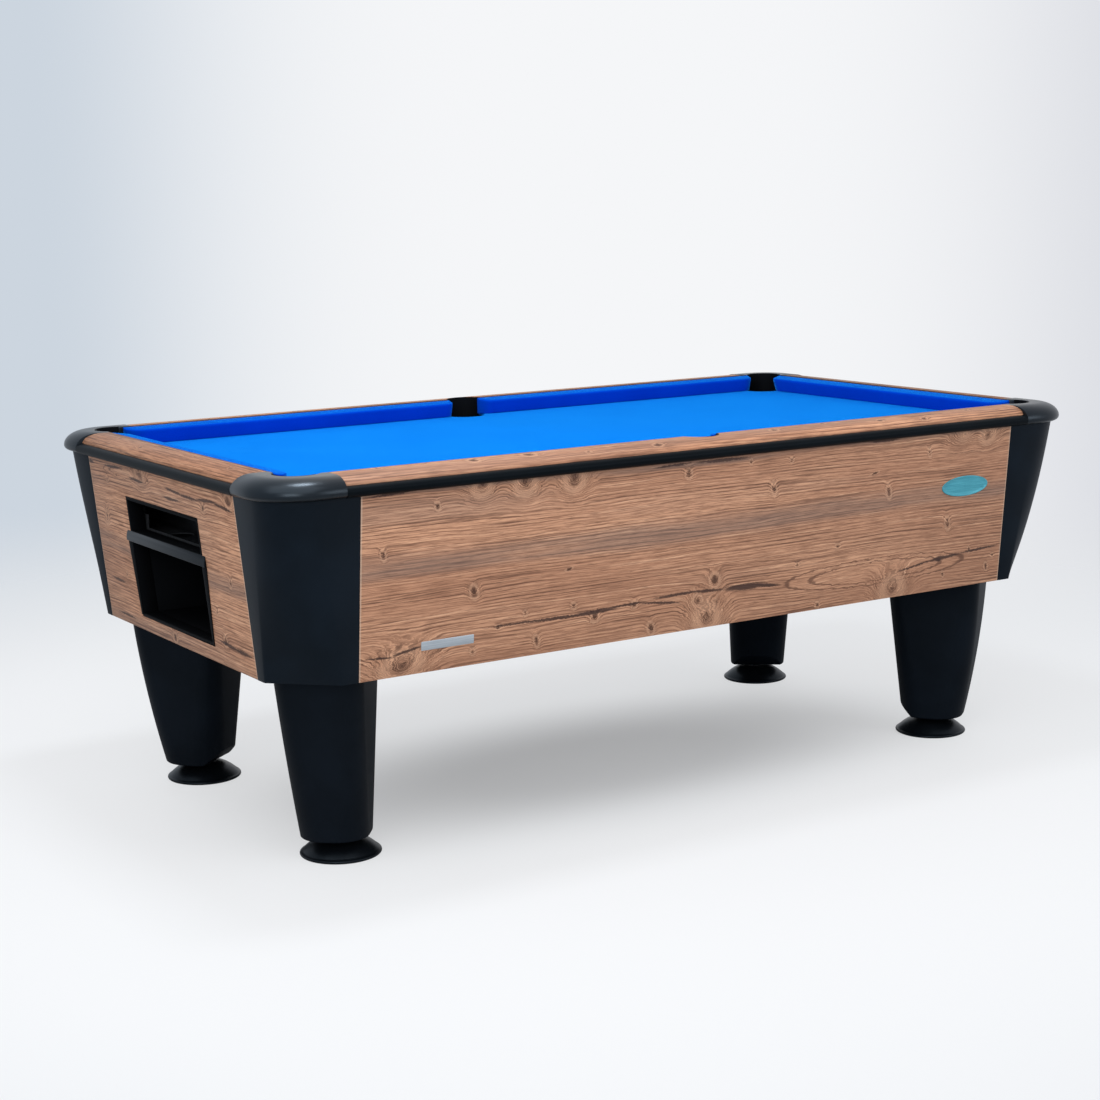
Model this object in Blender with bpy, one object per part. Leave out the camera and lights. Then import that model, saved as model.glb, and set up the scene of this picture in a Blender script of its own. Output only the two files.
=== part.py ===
"""English pool table with a ball return, built piece by piece in metres with +Z up.

The origin is on the floor under the middle of the table. X runs along the length with the ball
return at the -X end, and the front long side faces -Y. Cabinet walls lean out towards the top.
"""
import math

import bmesh
import bpy
from mathutils import Vector

# Fits
GAP = 0.0003
SCREW_CLEARANCE = 0.0004
SLATE_CLEARANCE = 0.003

# Cabinet box
BED_Z = 0.794
CABINET_DEPTH = 0.384
LENGTH_AT_BASE = 2.057
WIDTH_AT_BASE = 1.094
LEAN = 0.0975
PANEL_THICKNESS = 0.020
BASE_THICKNESS = 0.018

# Corner posts: round at the top, swept into a flat chamfer at the bottom
POST_ALONG_SIDE = 0.1535
POST_ALONG_END = 0.146
CHAMFER_ALONG_SIDE = 0.147
CHAMFER_ALONG_END = 0.114
POST_WALL = 0.012
POST_SWEEP = 1.6
POST_LEVELS = 8
CORNER_STEPS = 8

# Top rails, edge bumper and corner caps
RAIL_HEIGHT = 0.0424
RAIL_WIDTH = 0.069
RAIL_OVERHANG = 0.0016
RAIL_ROUND = 0.0205
RAIL_ROUND_WIDTH = 0.045
BUMPER_HEIGHT = 0.0235
BUMPER_PROUD = 0.017
CAP_RADIUS = 0.100
CAP_ALONG_SIDE = 0.1554
CAP_ALONG_END = 0.157
CAP_FLAT = 0.032

# Cushions
CUSHION_WIDTH = 0.0435
CUSHION_BACK_HEIGHT = 0.0405
NOSE_HEIGHT = 0.0335
NOSE_THICKNESS = 0.005
CUSHION_UNDERCUT = 0.013
CORNER_JAW = 0.045
CORNER_JAW_REACH = 0.032
MIDDLE_JAW = 0.030
MIDDLE_GAP = 0.085
JAW_STEPS = 6

# Pockets
LINER_BORE = 0.088
LINER_WALL = 0.0035
LINER_DROP = 0.064
LINER_FRONT_CUT = 0.012
CORNER_POCKET_SETBACK = 0.0105
MIDDLE_POCKET_SETBACK = 0.0325
ROUND_STEPS = 32

# Bed
SLATE_THICKNESS = 0.019
CLOTH_THICKNESS = 0.001
CLOTH_MARGIN = 0.002
BEARER_DEPTH = 0.060
BEARER_WIDTH = 0.045
INNER_BEARER_X = 0.280
OUTER_BEARER_FROM_POCKET = 0.245

# Ball runs
GULLY_FLOOR = 0.012
GULLY_WALL = 0.009
GULLY_REACH = 0.0465
GULLY_HEIGHT = 0.041
GULLY_TOP_DROP = 0.086
GULLY_FALL = 0.029
GULLY_CLEARANCE = 0.002
TRAY_WALL = 0.003
TRAY_WIDTH = 0.095
TRAY_HEIGHT = 0.046
TRAY_TOP_DROP = 0.119
TRAY_LIP = 0.016
DROP_HOLE = 0.062
DROP_HOLE_Y = 0.120

# Ball return in the end panel
RETURN_WIDTH = 0.400
RETURN_HEAD = 0.075
RETURN_SILL = 0.033
RETURN_DEPTH = 0.035
RETURN_FRAME = 0.008
UPPER_WINDOW = 0.070
RETURN_BAR = 0.024
LIP_PROUD = 0.010
LIP_FACE = 0.012
LIP_OVERLAP = 0.008
BIN_DEPTH = 0.180
BIN_WALL = 0.003
BIN_TOP_SPACE = 0.004

# Legs and levelling feet
FOOT_FROM_END = 0.1925
FOOT_FROM_SIDE = 0.188
LEG_TOP_WIDTH = 0.190
LEG_TOP_DEPTH = 0.230
LEG_TOP_ROUND = 0.034
LEG_FOOT_WIDTH = 0.147
LEG_FOOT_DEPTH = 0.151
LEG_FOOT_ROUND = 0.060
LEG_TOP_OFFSET = 0.018
LEG_FOOT_OFFSET = 0.008
LEG_BULGE = 0.008
LEG_TURN = 52.2
LEG_CLEARANCE = 0.044
LEG_EDGE = 0.004
LEG_HEEL_START = 0.037
LEG_HEEL_RISE = 0.90
LEG_WALL = 0.012
LEG_SOLID_END = 0.110
LEG_NUT_SPACE = 0.012
LEG_LEVELS = 7
LEG_CORNER_STEPS = 5
PAD_DIAMETER = 0.174
PAD_RIM = 0.007
PAD_HUB_DIAMETER = 0.044
PAD_HEIGHT = 0.0375
PAD_DOME_STEPS = 6
STEM_DIAMETER = 0.012
STEM_LENGTH = 0.120
STEM_SEAT = 0.010
STEM_NUT_WIDTH = 0.022
STEM_NUT_HEIGHT = 0.0075
FOOT_TRAVEL_UP = 0.005

# Values that follow from the sizes above
BASE_Z = BED_Z - CABINET_DEPTH
RAIL_BOTTOM_Z = BED_Z + GAP
RAIL_TOP_Z = BED_Z + RAIL_HEIGHT
WALL_RUN = PANEL_THICKNESS * math.sqrt(1.0 + LEAN * LEAN)
SIDE_PANEL_HALF = LENGTH_AT_BASE / 2 - POST_ALONG_SIDE
END_PANEL_HALF = WIDTH_AT_BASE / 2 - POST_ALONG_END
RAIL_OUT_X = LENGTH_AT_BASE / 2 + LEAN * CABINET_DEPTH + RAIL_OVERHANG
RAIL_OUT_Y = WIDTH_AT_BASE / 2 + LEAN * CABINET_DEPTH + RAIL_OVERHANG
RAIL_IN_X = RAIL_OUT_X - RAIL_WIDTH
RAIL_IN_Y = RAIL_OUT_Y - RAIL_WIDTH
RAIL_END_X = RAIL_OUT_X - CAP_ALONG_SIDE
RAIL_END_Y = RAIL_OUT_Y - CAP_ALONG_END
NOSE_X = RAIL_IN_X - CUSHION_WIDTH
NOSE_Y = RAIL_IN_Y - CUSHION_WIDTH
BUMPER_TOP_Z = RAIL_TOP_Z - RAIL_ROUND
BUMPER_MID_Z = BUMPER_TOP_Z - BUMPER_HEIGHT / 2
LINER_INSIDE = LINER_BORE / 2
LINER_OUTSIDE = LINER_INSIDE + LINER_WALL
POCKET_X = NOSE_X + CORNER_POCKET_SETBACK
POCKET_Y = NOSE_Y + CORNER_POCKET_SETBACK
MIDDLE_POCKET_Y = NOSE_Y + MIDDLE_POCKET_SETBACK
GULLY_EDGE_Y = POCKET_Y - GULLY_REACH - GULLY_WALL
SLATE_TOP_Z = BED_Z - CLOTH_THICKNESS - GAP
SLATE_BOTTOM_Z = SLATE_TOP_Z - SLATE_THICKNESS
FOOT_X = LENGTH_AT_BASE / 2 - FOOT_FROM_END
FOOT_Y = WIDTH_AT_BASE / 2 - FOOT_FROM_SIDE
RETURN_TOP_Z = BED_Z - RETURN_HEAD
RETURN_BOTTOM_Z = BASE_Z + RETURN_SILL
BAR_TOP_Z = RETURN_TOP_Z - RETURN_FRAME - UPPER_WINDOW
BAR_BOTTOM_Z = BAR_TOP_Z - RETURN_BAR
TRAY_TOP_Z = BED_Z - TRAY_TOP_DROP
TRAY_BOTTOM_Z = TRAY_TOP_Z - TRAY_HEIGHT
TRAY_FRONT_X = LENGTH_AT_BASE / 2 + LEAN * (TRAY_BOTTOM_Z - BASE_Z) - RETURN_DEPTH - GAP

CORNERS = {
    "front_return": (-1, -1),
    "front_plain": (1, -1),
    "back_return": (-1, 1),
    "back_plain": (1, 1),
}
SIDES = {"front": -1, "back": 1}
ENDS = {"return": -1, "plain": 1}

# Edges sharper than this stay crisp, in degrees
SHARP_ANGLE = 35.0

# Finishes: colour, roughness, metallic
FINISHES = {
    "wood_laminate": ((0.43, 0.24, 0.15), 0.55, 0.0),
    "black_moulding": ((0.012, 0.013, 0.014), 0.45, 0.0),
    "black_trim": ((0.010, 0.010, 0.011), 0.40, 0.0),
    "blue_cloth": ((0.010, 0.200, 0.800), 0.90, 0.0),
    "slate": ((0.10, 0.11, 0.12), 0.75, 0.0),
    "plywood": ((0.55, 0.40, 0.25), 0.70, 0.0),
    "black_leg": ((0.012, 0.013, 0.014), 0.50, 0.0),
    "zinc_steel": ((0.55, 0.56, 0.58), 0.35, 1.0),
}


def clear_scene():
    for old in list(bpy.data.objects):
        bpy.data.objects.remove(old, do_unlink=True)


def finish_material(name):
    colour, roughness, metallic = FINISHES[name]
    material = bpy.data.materials.get(name) or bpy.data.materials.new(name)
    material.use_nodes = True
    shader = material.node_tree.nodes["Principled BSDF"]
    shader.inputs["Base Color"].default_value = (*colour, 1.0)
    shader.inputs["Roughness"].default_value = roughness
    shader.inputs["Metallic"].default_value = metallic
    return material


def to_object(bm, name, finish, location=(0.0, 0.0, 0.0)):
    bmesh.ops.recalc_face_normals(bm, faces=bm.faces)
    mesh = bpy.data.meshes.new(name)
    bm.to_mesh(mesh)
    bm.free()
    obj = bpy.data.objects.new(name, mesh)
    obj.location = location
    bpy.context.scene.collection.objects.link(obj)
    if finish:
        mesh.materials.append(finish_material(finish))
        mesh.shade_smooth()
        mesh.set_sharp_from_angle(angle=math.radians(SHARP_ANGLE))
    return obj


def to_cutter(bm, name, location=(0.0, 0.0, 0.0)):
    obj = to_object(bm, name, None, location)
    obj.hide_render = True
    obj.display_type = "WIRE"
    return obj


def cut(obj, cutter):
    step = obj.modifiers.new(cutter.name, "BOOLEAN")
    step.operation = "DIFFERENCE"
    step.object = cutter


def join(obj, other):
    step = obj.modifiers.new(other.name, "BOOLEAN")
    step.operation = "UNION"
    step.object = other


def half_length(z):
    """Outer half length of the cabinet wall at a height."""
    return LENGTH_AT_BASE / 2 + LEAN * (z - BASE_Z)


def half_width(z):
    return WIDTH_AT_BASE / 2 + LEAN * (z - BASE_Z)


def along_x(h, p, q):
    return (h, p, q)


def along_y(h, p, q):
    return (p, h, q)


def along_z(h, p, q):
    return (p, q, h)


def loft(rings):
    """Closed body through rings of equal point count, capped at both ends."""
    bm = bmesh.new()
    loops = [[bm.verts.new(point) for point in ring] for ring in rings]
    count = len(loops[0])
    for low, high in zip(loops, loops[1:]):
        for i in range(count):
            j = (i + 1) % count
            bm.faces.new((low[i], low[j], high[j], high[i]))
    bm.faces.new(loops[0])
    bm.faces.new(loops[-1])
    return bm


def prism(outline, place, low, high):
    """Flat outline pushed from low to high along one axis."""
    return loft([[place(h, p, q) for p, q in outline] for h in (low, high)])


def box(low, high):
    (x0, y0, z0), (x1, y1, z1) = low, high
    return prism([(x0, y0), (x1, y0), (x1, y1), (x0, y1)], along_z, z0, z1)


def lathe(profile, steps):
    """Turned body from (radius, z) points that start and end on the axis."""
    bm = bmesh.new()
    rings = []
    for radius, z in profile:
        if radius == 0.0:
            rings.append([bm.verts.new((0.0, 0.0, z))])
            continue
        angles = [2 * math.pi * i / steps for i in range(steps)]
        rings.append([bm.verts.new((radius * math.cos(a), radius * math.sin(a), z)) for a in angles])
    for low, high in zip(rings, rings[1:]):
        for i in range(steps):
            j = (i + 1) % steps
            corners = [low[i % len(low)], low[j % len(low)], high[j % len(high)], high[i % len(high)]]
            bm.faces.new(list(dict.fromkeys(corners)))
    return bm


def drum(radius, low, high, steps=ROUND_STEPS):
    return lathe([(0.0, low), (radius, low), (radius, high), (0.0, high)], steps)


def arc(centre, radius_p, radius_q, start, end, steps):
    """Points of an elliptical arc, angles in degrees."""
    points = []
    for i in range(steps + 1):
        a = math.radians(start + (end - start) * i / steps)
        points.append((centre[0] + radius_p * math.cos(a), centre[1] + radius_q * math.sin(a)))
    return points


def corner_curve(reach_a, reach_b, flatten):
    """Curve across a corner from (0, reach_b) to (reach_a, 0): round at 0, straight at 1."""
    start = Vector((0.0, reach_b))
    end = Vector((reach_a, 0.0))
    middle = (start + end) * (0.5 * flatten)
    points = []
    for i in range(CORNER_STEPS + 1):
        u = i / CORNER_STEPS
        weights = ((1 - u) ** 2, math.sqrt(2.0) * u * (1 - u), u * u)
        points.append((start * weights[0] + middle * weights[1] + end * weights[2]) / sum(weights))
    return points


def offset_path(path, distance):
    """Open path moved to its left by a constant distance."""
    normals = []
    for here, there in zip(path, path[1:]):
        run = (there - here).normalized()
        normals.append(Vector((-run.y, run.x)))
    moved = [path[0] + normals[0] * distance]
    for point, before, after in zip(path[1:-1], normals, normals[1:]):
        bisector = (before + after).normalized()
        moved.append(point + bisector * (distance / bisector.dot(before)))
    moved.append(path[-1] + normals[-1] * distance)
    return moved


def wall_outline(outer, bottom_z, top_z):
    """Leaning wall seen from its end, from its outer half size as a function of height."""
    return [
        (outer(bottom_z), bottom_z),
        (outer(top_z), top_z),
        (outer(top_z) - WALL_RUN, top_z),
        (outer(bottom_z) - WALL_RUN, bottom_z),
    ]


def mirrored(outline, sign):
    return [(sign * p, q) for p, q in outline]


def pocket_places():
    """Each pocket's name, centre and outward direction in degrees."""
    places = {}
    for name, (sx, sy) in CORNERS.items():
        outward = math.degrees(math.atan2(sy, sx))
        places[name] = ((sx * POCKET_X, sy * POCKET_Y), outward)
    for name, sy in SIDES.items():
        places[name + "_middle"] = ((0.0, sy * MIDDLE_POCKET_Y), 90.0 * sy)
    return places


def build_panels():
    for name, sy in SIDES.items():
        outline = mirrored(wall_outline(half_width, BASE_Z, BED_Z), sy)
        bm = prism(outline, along_x, -SIDE_PANEL_HALF, SIDE_PANEL_HALF)
        to_object(bm, "side_panel_" + name, "wood_laminate")
    for name, sx in ENDS.items():
        outline = mirrored(wall_outline(half_length, BASE_Z, BED_Z), sx)
        bm = prism(outline, along_y, -END_PANEL_HALF, END_PANEL_HALF)
        panel = to_object(bm, "end_panel_" + name, "wood_laminate")
        if name == "return":
            half = RETURN_WIDTH / 2 + GAP
            reach = half_length(BED_Z)
            low = (-reach - WALL_RUN, -half, RETURN_BOTTOM_Z - GAP)
            high = (-reach + 4 * WALL_RUN, half, RETURN_TOP_Z + GAP)
            cut(panel, to_cutter(box(low, high), "return_cutout"))


def post_path(z):
    """Outer path of a corner post at a height, measured in from the end and the side wall."""
    fall = (BED_Z - z) / CABINET_DEPTH
    top_reach = CAP_RADIUS - RAIL_OVERHANG
    reach_a = top_reach + (CHAMFER_ALONG_SIDE - top_reach) * fall
    reach_b = top_reach + (CHAMFER_ALONG_END - top_reach) * fall
    run_a = half_length(z) - SIDE_PANEL_HALF - GAP
    run_b = half_width(z) - END_PANEL_HALF - GAP
    curve = corner_curve(reach_a, reach_b, fall ** POST_SWEEP)
    return [Vector((0.0, run_b)), *curve, Vector((run_a, 0.0))]


def build_posts():
    for name, (sx, sy) in CORNERS.items():
        rings = []
        for level in range(POST_LEVELS + 1):
            z = BASE_Z + CABINET_DEPTH * level / POST_LEVELS
            outer = post_path(z)
            inner = offset_path(outer, POST_WALL)
            ring = outer + inner[::-1]
            rings.append([(sx * (half_length(z) - p.x), sy * (half_width(z) - p.y), z) for p in ring])
        bm = loft_strip(rings)
        to_object(bm, "corner_post_" + name, "black_moulding")


def loft_strip(rings):
    """Loft of a bent wall section, with its ends closed by a strip of quads."""
    bm = bmesh.new()
    loops = [[bm.verts.new(point) for point in ring] for ring in rings]
    count = len(loops[0])
    for low, high in zip(loops, loops[1:]):
        for i in range(count):
            j = (i + 1) % count
            bm.faces.new((low[i], low[j], high[j], high[i]))
    for loop in (loops[0], loops[-1]):
        for i in range(count // 2 - 1):
            bm.faces.new((loop[i], loop[i + 1], loop[count - 2 - i], loop[count - 1 - i]))
    return bm


def build_base():
    inset = WALL_RUN + GAP
    slope = math.hypot(1 / CHAMFER_ALONG_SIDE, 1 / CHAMFER_ALONG_END)
    reach = 1 + (POST_WALL + GAP) * slope
    cut_a = CHAMFER_ALONG_SIDE * (reach - inset / CHAMFER_ALONG_END)
    cut_b = CHAMFER_ALONG_END * (reach - inset / CHAMFER_ALONG_SIDE)
    rings = []
    for z in (BASE_Z, BASE_Z + BASE_THICKNESS):
        x = half_length(z)
        y = half_width(z)
        corner = [(x - inset, y - cut_b), (x - cut_a, y - inset)]
        ring = []
        for sx, sy in ((1, 1), (-1, 1), (-1, -1), (1, -1)):
            points = corner if sx * sy > 0 else corner[::-1]
            ring += [(sx * p, sy * q, z) for p, q in points]
        rings.append(ring)
    to_object(loft(rings), "base_board", "plywood")


def build_bearers():
    top = SLATE_BOTTOM_Z - GAP
    bottom = top - BEARER_DEPTH
    inset = WALL_RUN + GAP
    low_half = half_width(bottom) - inset
    high_half = half_width(top) - inset
    outline = [(-low_half, bottom), (low_half, bottom), (high_half, top), (-high_half, top)]
    outer_x = POCKET_X - OUTER_BEARER_FROM_POCKET
    places = {
        "bearer_return_outer": -outer_x,
        "bearer_return_inner": -INNER_BEARER_X,
        "bearer_plain_inner": INNER_BEARER_X,
        "bearer_plain_outer": outer_x,
    }
    for name, x in places.items():
        bm = prism(outline, along_x, x - BEARER_WIDTH / 2, x + BEARER_WIDTH / 2)
        to_object(bm, name, "plywood")


def pocket_slot(radius, reach):
    """U shaped outline round a pocket, with its round end inward and its sides running out."""
    points = [(reach, -radius)]
    points += [(reach, radius)]
    points += arc((0.0, 0.0), radius, radius, 90, 270, ROUND_STEPS // 2)
    return points


def build_bed():
    inset = WALL_RUN + SLATE_CLEARANCE
    x = half_length(SLATE_BOTTOM_Z) - inset
    y = half_width(SLATE_BOTTOM_Z) - inset
    radius = LINER_OUTSIDE + SLATE_CLEARANCE
    slots = []
    for name, ((px, py), outward) in pocket_places().items():
        bm = prism(pocket_slot(radius, CAP_RADIUS), along_z, SLATE_BOTTOM_Z - RAIL_HEIGHT, RAIL_TOP_Z)
        slot = to_cutter(bm, "bed_slot_" + name, (px, py, 0.0))
        slot.rotation_euler.z = math.radians(outward)
        slots.append(slot)
    layers = (
        ("slate_bed", "slate", 0.0, SLATE_BOTTOM_Z, SLATE_TOP_Z),
        ("bed_cloth", "blue_cloth", CLOTH_MARGIN, BED_Z - CLOTH_THICKNESS, BED_Z),
    )
    for name, finish, margin, bottom, top in layers:
        corner = POCKET_X + POCKET_Y - margin
        outline = []
        for sx, sy in ((1, 1), (-1, 1), (-1, -1), (1, -1)):
            points = [(x - margin, corner - x + margin), (corner - y + margin, y - margin)]
            points = points if sx * sy > 0 else points[::-1]
            outline += [(sx * p, sy * q) for p, q in points]
        bed = to_object(prism(outline, along_z, bottom, top), name, finish)
        for slot in slots:
            cut(bed, slot)


def rail_outline(outer):
    """Rail section as (distance from the table's middle, height)."""
    inner = outer - RAIL_WIDTH
    centre = (outer - RAIL_ROUND_WIDTH, RAIL_TOP_Z - RAIL_ROUND)
    rounding = arc(centre, RAIL_ROUND_WIDTH, RAIL_ROUND, 90, 0, CORNER_STEPS)
    return [(inner, RAIL_BOTTOM_Z), (inner, RAIL_TOP_Z), *rounding, (outer, RAIL_BOTTOM_Z)]


def bumper_outline(outer):
    back = outer + GAP
    half = BUMPER_HEIGHT / 2
    return arc((back, BUMPER_MID_Z), BUMPER_PROUD, half, 90, -90, CORNER_STEPS)


def build_rails():
    for name, sy in SIDES.items():
        bm = prism(mirrored(rail_outline(RAIL_OUT_Y), sy), along_x, -RAIL_END_X, RAIL_END_X)
        rail = to_object(bm, "rail_" + name, "wood_laminate")
        notch = drum(LINER_OUTSIDE + GAP, BED_Z - RAIL_HEIGHT, RAIL_TOP_Z + RAIL_HEIGHT)
        cut(rail, to_cutter(notch, "rail_notch_" + name, (0.0, sy * MIDDLE_POCKET_Y, 0.0)))
        bm = prism(mirrored(bumper_outline(RAIL_OUT_Y), sy), along_x, -RAIL_END_X, RAIL_END_X)
        to_object(bm, "edge_bumper_" + name, "black_trim")
    for name, sx in ENDS.items():
        bm = prism(mirrored(rail_outline(RAIL_OUT_X), sx), along_y, -RAIL_END_Y, RAIL_END_Y)
        to_object(bm, "rail_" + name, "wood_laminate")
        bm = prism(mirrored(bumper_outline(RAIL_OUT_X), sx), along_y, -RAIL_END_Y, RAIL_END_Y)
        to_object(bm, "edge_bumper_" + name, "black_trim")


def cap_section():
    """Corner cap section as (distance in from the rail's outer face, height)."""
    dome_height = RAIL_TOP_Z - BUMPER_MID_Z
    dome = arc((CAP_FLAT, BUMPER_MID_Z), CAP_FLAT + BUMPER_PROUD, dome_height, 90, 180, CORNER_STEPS)
    under = arc((0.0, BUMPER_MID_Z), BUMPER_PROUD, BUMPER_HEIGHT / 2, 180, 270, CORNER_STEPS // 2)
    return [(RAIL_WIDTH, RAIL_BOTTOM_Z), (RAIL_WIDTH, RAIL_TOP_Z), *dome, *under[1:], (0.0, RAIL_BOTTOM_Z)]


def build_caps():
    section = cap_section()
    centre_x = RAIL_OUT_X - CAP_RADIUS
    centre_y = RAIL_OUT_Y - CAP_RADIUS
    stations = [((RAIL_END_X + GAP, RAIL_OUT_Y), 90.0)]
    for i in range(CORNER_STEPS + 1):
        angle = 90.0 - 90.0 * i / CORNER_STEPS
        a = math.radians(angle)
        point = (centre_x + CAP_RADIUS * math.cos(a), centre_y + CAP_RADIUS * math.sin(a))
        stations.append((point, angle))
    stations.append(((RAIL_OUT_X, RAIL_END_Y + GAP), 0.0))
    for name, (sx, sy) in CORNERS.items():
        rings = []
        for (px, py), angle in stations:
            out_x = math.cos(math.radians(angle))
            out_y = math.sin(math.radians(angle))
            rings.append([(sx * (px - d * out_x), sy * (py - d * out_y), z) for d, z in section])
        cap = to_object(loft(rings), "corner_cap_" + name, "black_trim")
        mouth = drum(LINER_OUTSIDE + GAP, BED_Z - RAIL_HEIGHT, RAIL_TOP_Z + RAIL_HEIGHT)
        cut(cap, to_cutter(mouth, "cap_mouth_" + name, (sx * POCKET_X, sy * POCKET_Y, 0.0)))


def cushion_section(share):
    """Cushion section as (depth in from the rail, height over the bed) at a share of full depth."""
    depth = CUSHION_WIDTH * share
    foot = max(CUSHION_WIDTH - CUSHION_UNDERCUT, 0.0) * share
    half = NOSE_THICKNESS / 2
    return [
        (0.0, GAP),
        (foot, GAP),
        (depth, NOSE_HEIGHT - half),
        (depth, NOSE_HEIGHT + half),
        (0.0, CUSHION_BACK_HEIGHT),
    ]


def cushion_stations(start, end, start_jaw, end_jaw):
    """Positions along a cushion with the share of its depth there, rounded off into each pocket."""
    stations = []
    last = 75.0
    for i in range(JAW_STEPS + 1):
        a = math.radians(last * (1 - i / JAW_STEPS))
        stations.append((start + start_jaw * (math.sin(math.radians(last)) - math.sin(a)), math.cos(a)))
    for i in range(JAW_STEPS + 1):
        a = math.radians(last * i / JAW_STEPS)
        stations.append((end - end_jaw * (math.sin(math.radians(last)) - math.sin(a)), math.cos(a)))
    return stations


def build_cushions():
    corner_x = POCKET_X - CORNER_JAW_REACH
    corner_y = POCKET_Y - CORNER_JAW_REACH
    back_x = RAIL_IN_X - GAP
    back_y = RAIL_IN_Y - GAP
    halves = {
        "return": (-corner_x, -MIDDLE_GAP / 2, CORNER_JAW, MIDDLE_JAW),
        "plain": (MIDDLE_GAP / 2, corner_x, MIDDLE_JAW, CORNER_JAW),
    }
    for side, sy in SIDES.items():
        for half, ends in halves.items():
            rings = []
            for x, share in cushion_stations(*ends):
                rings.append([(x, sy * (back_y - d), BED_Z + h) for d, h in cushion_section(share)])
            to_object(loft(rings), "cushion_%s_%s" % (side, half), "blue_cloth")
    for end, sx in ENDS.items():
        rings = []
        for y, share in cushion_stations(-corner_y, corner_y, CORNER_JAW, CORNER_JAW):
            rings.append([(sx * (back_x - d), y, BED_Z + h) for d, h in cushion_section(share)])
        to_object(loft(rings), "cushion_%s_end" % end, "blue_cloth")


def build_liners():
    low = BED_Z - LINER_DROP
    high = RAIL_TOP_Z - GAP
    ring = [(LINER_INSIDE, low), (LINER_OUTSIDE, low), (LINER_OUTSIDE, high), (LINER_INSIDE, high)]
    front_low = BED_Z - CLOTH_THICKNESS - SLATE_CLEARANCE
    for name, ((px, py), outward) in pocket_places().items():
        bm = bmesh.new()
        loops = []
        for radius, z in ring:
            angles = [2 * math.pi * i / ROUND_STEPS for i in range(ROUND_STEPS)]
            loops.append([bm.verts.new((radius * math.cos(a), radius * math.sin(a), z)) for a in angles])
        for k, loop in enumerate(loops):
            following = loops[(k + 1) % len(loops)]
            for i in range(ROUND_STEPS):
                j = (i + 1) % ROUND_STEPS
                bm.faces.new((loop[i], loop[j], following[j], following[i]))
        liner = to_object(bm, "pocket_liner_" + name, "black_moulding", (px, py, 0.0))
        reach = LINER_OUTSIDE * 2
        front = box((-reach, -reach, front_low), (LINER_FRONT_CUT, reach, RAIL_TOP_Z + RAIL_HEIGHT))
        cutter = to_cutter(front, "liner_front_" + name, (px, py, 0.0))
        cutter.rotation_euler.z = math.radians(outward)
        cut(liner, cutter)


def gully_top(x):
    """Height of a ball run's rim, falling steadily to the return end."""
    return BED_Z - GULLY_TOP_DROP + GULLY_FALL * (x - POCKET_X) / (2 * POCKET_X)


def gully_plan():
    """Plan of a ball run's floor as (x, distance from the table's middle)."""
    points = []
    for sx in (1, -1):
        z = gully_top(sx * POCKET_X) - GULLY_HEIGHT - GULLY_FLOOR
        inside = offset_path(post_path(z), POST_WALL + GULLY_CLEARANCE)
        corner = [(half_length(z) - inside[1].x, GULLY_EDGE_Y)]
        for point in inside[1:-1]:
            x = half_length(z) - point.x
            low = gully_top(sx * x) - GULLY_HEIGHT - GULLY_FLOOR
            wall = half_width(low) - WALL_RUN - GAP
            corner.append((x, min(half_width(z) - point.y, wall)))
        corner = [(sx * x, y) for x, y in corner]
        points += corner if sx > 0 else corner[::-1]
    return points


def gully_ring(plan, sign, drop):
    return [(x, sign * y, gully_top(x) - drop) for x, y in plan]


def build_gullies():
    plan = gully_plan()
    low_x = -TRAY_FRONT_X + TRAY_WIDTH
    high_x = POCKET_X + LINER_OUTSIDE
    for name, sy in SIDES.items():
        rings = [gully_ring(plan, sy, GULLY_HEIGHT + GULLY_FLOOR), gully_ring(plan, sy, GULLY_HEIGHT)]
        to_object(loft(rings), "gully_floor_" + name, "plywood")
        outline = [
            (low_x, gully_top(low_x) - GULLY_HEIGHT + GAP),
            (high_x, gully_top(high_x) - GULLY_HEIGHT + GAP),
            (high_x, gully_top(high_x)),
            (low_x, gully_top(low_x)),
        ]
        reach = sorted((sy * GULLY_EDGE_Y, sy * (GULLY_EDGE_Y + GULLY_WALL)))
        to_object(prism(outline, along_y, *reach), "gully_wall_" + name, "plywood")


def build_tray():
    low_x = -TRAY_FRONT_X
    high_x = low_x + TRAY_WIDTH
    half = GULLY_EDGE_Y - GAP
    top = TRAY_TOP_Z
    bottom = TRAY_BOTTOM_Z
    tray = to_object(box((low_x, -half, bottom), (high_x, half, top)), "ball_tray", "black_moulding")
    inside = box(
        (low_x + TRAY_WALL, -half - TRAY_WALL, bottom + TRAY_WALL),
        (high_x - TRAY_WALL, half + TRAY_WALL, top + TRAY_WALL),
    )
    cut(tray, to_cutter(inside, "tray_channel"))
    view = RETURN_WIDTH / 2 - 2 * RETURN_FRAME
    front_low = (low_x - TRAY_WALL, -view, bottom + TRAY_LIP)
    front_high = (low_x + 2 * TRAY_WALL, view, top + TRAY_WALL)
    cut(tray, to_cutter(box(front_low, front_high), "tray_front"))
    radius = DROP_HOLE / 2
    hole = drum(radius, bottom - radius, top)
    cut(tray, to_cutter(hole, "tray_drop", ((low_x + high_x) / 2, DROP_HOLE_Y, 0.0)))


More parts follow.
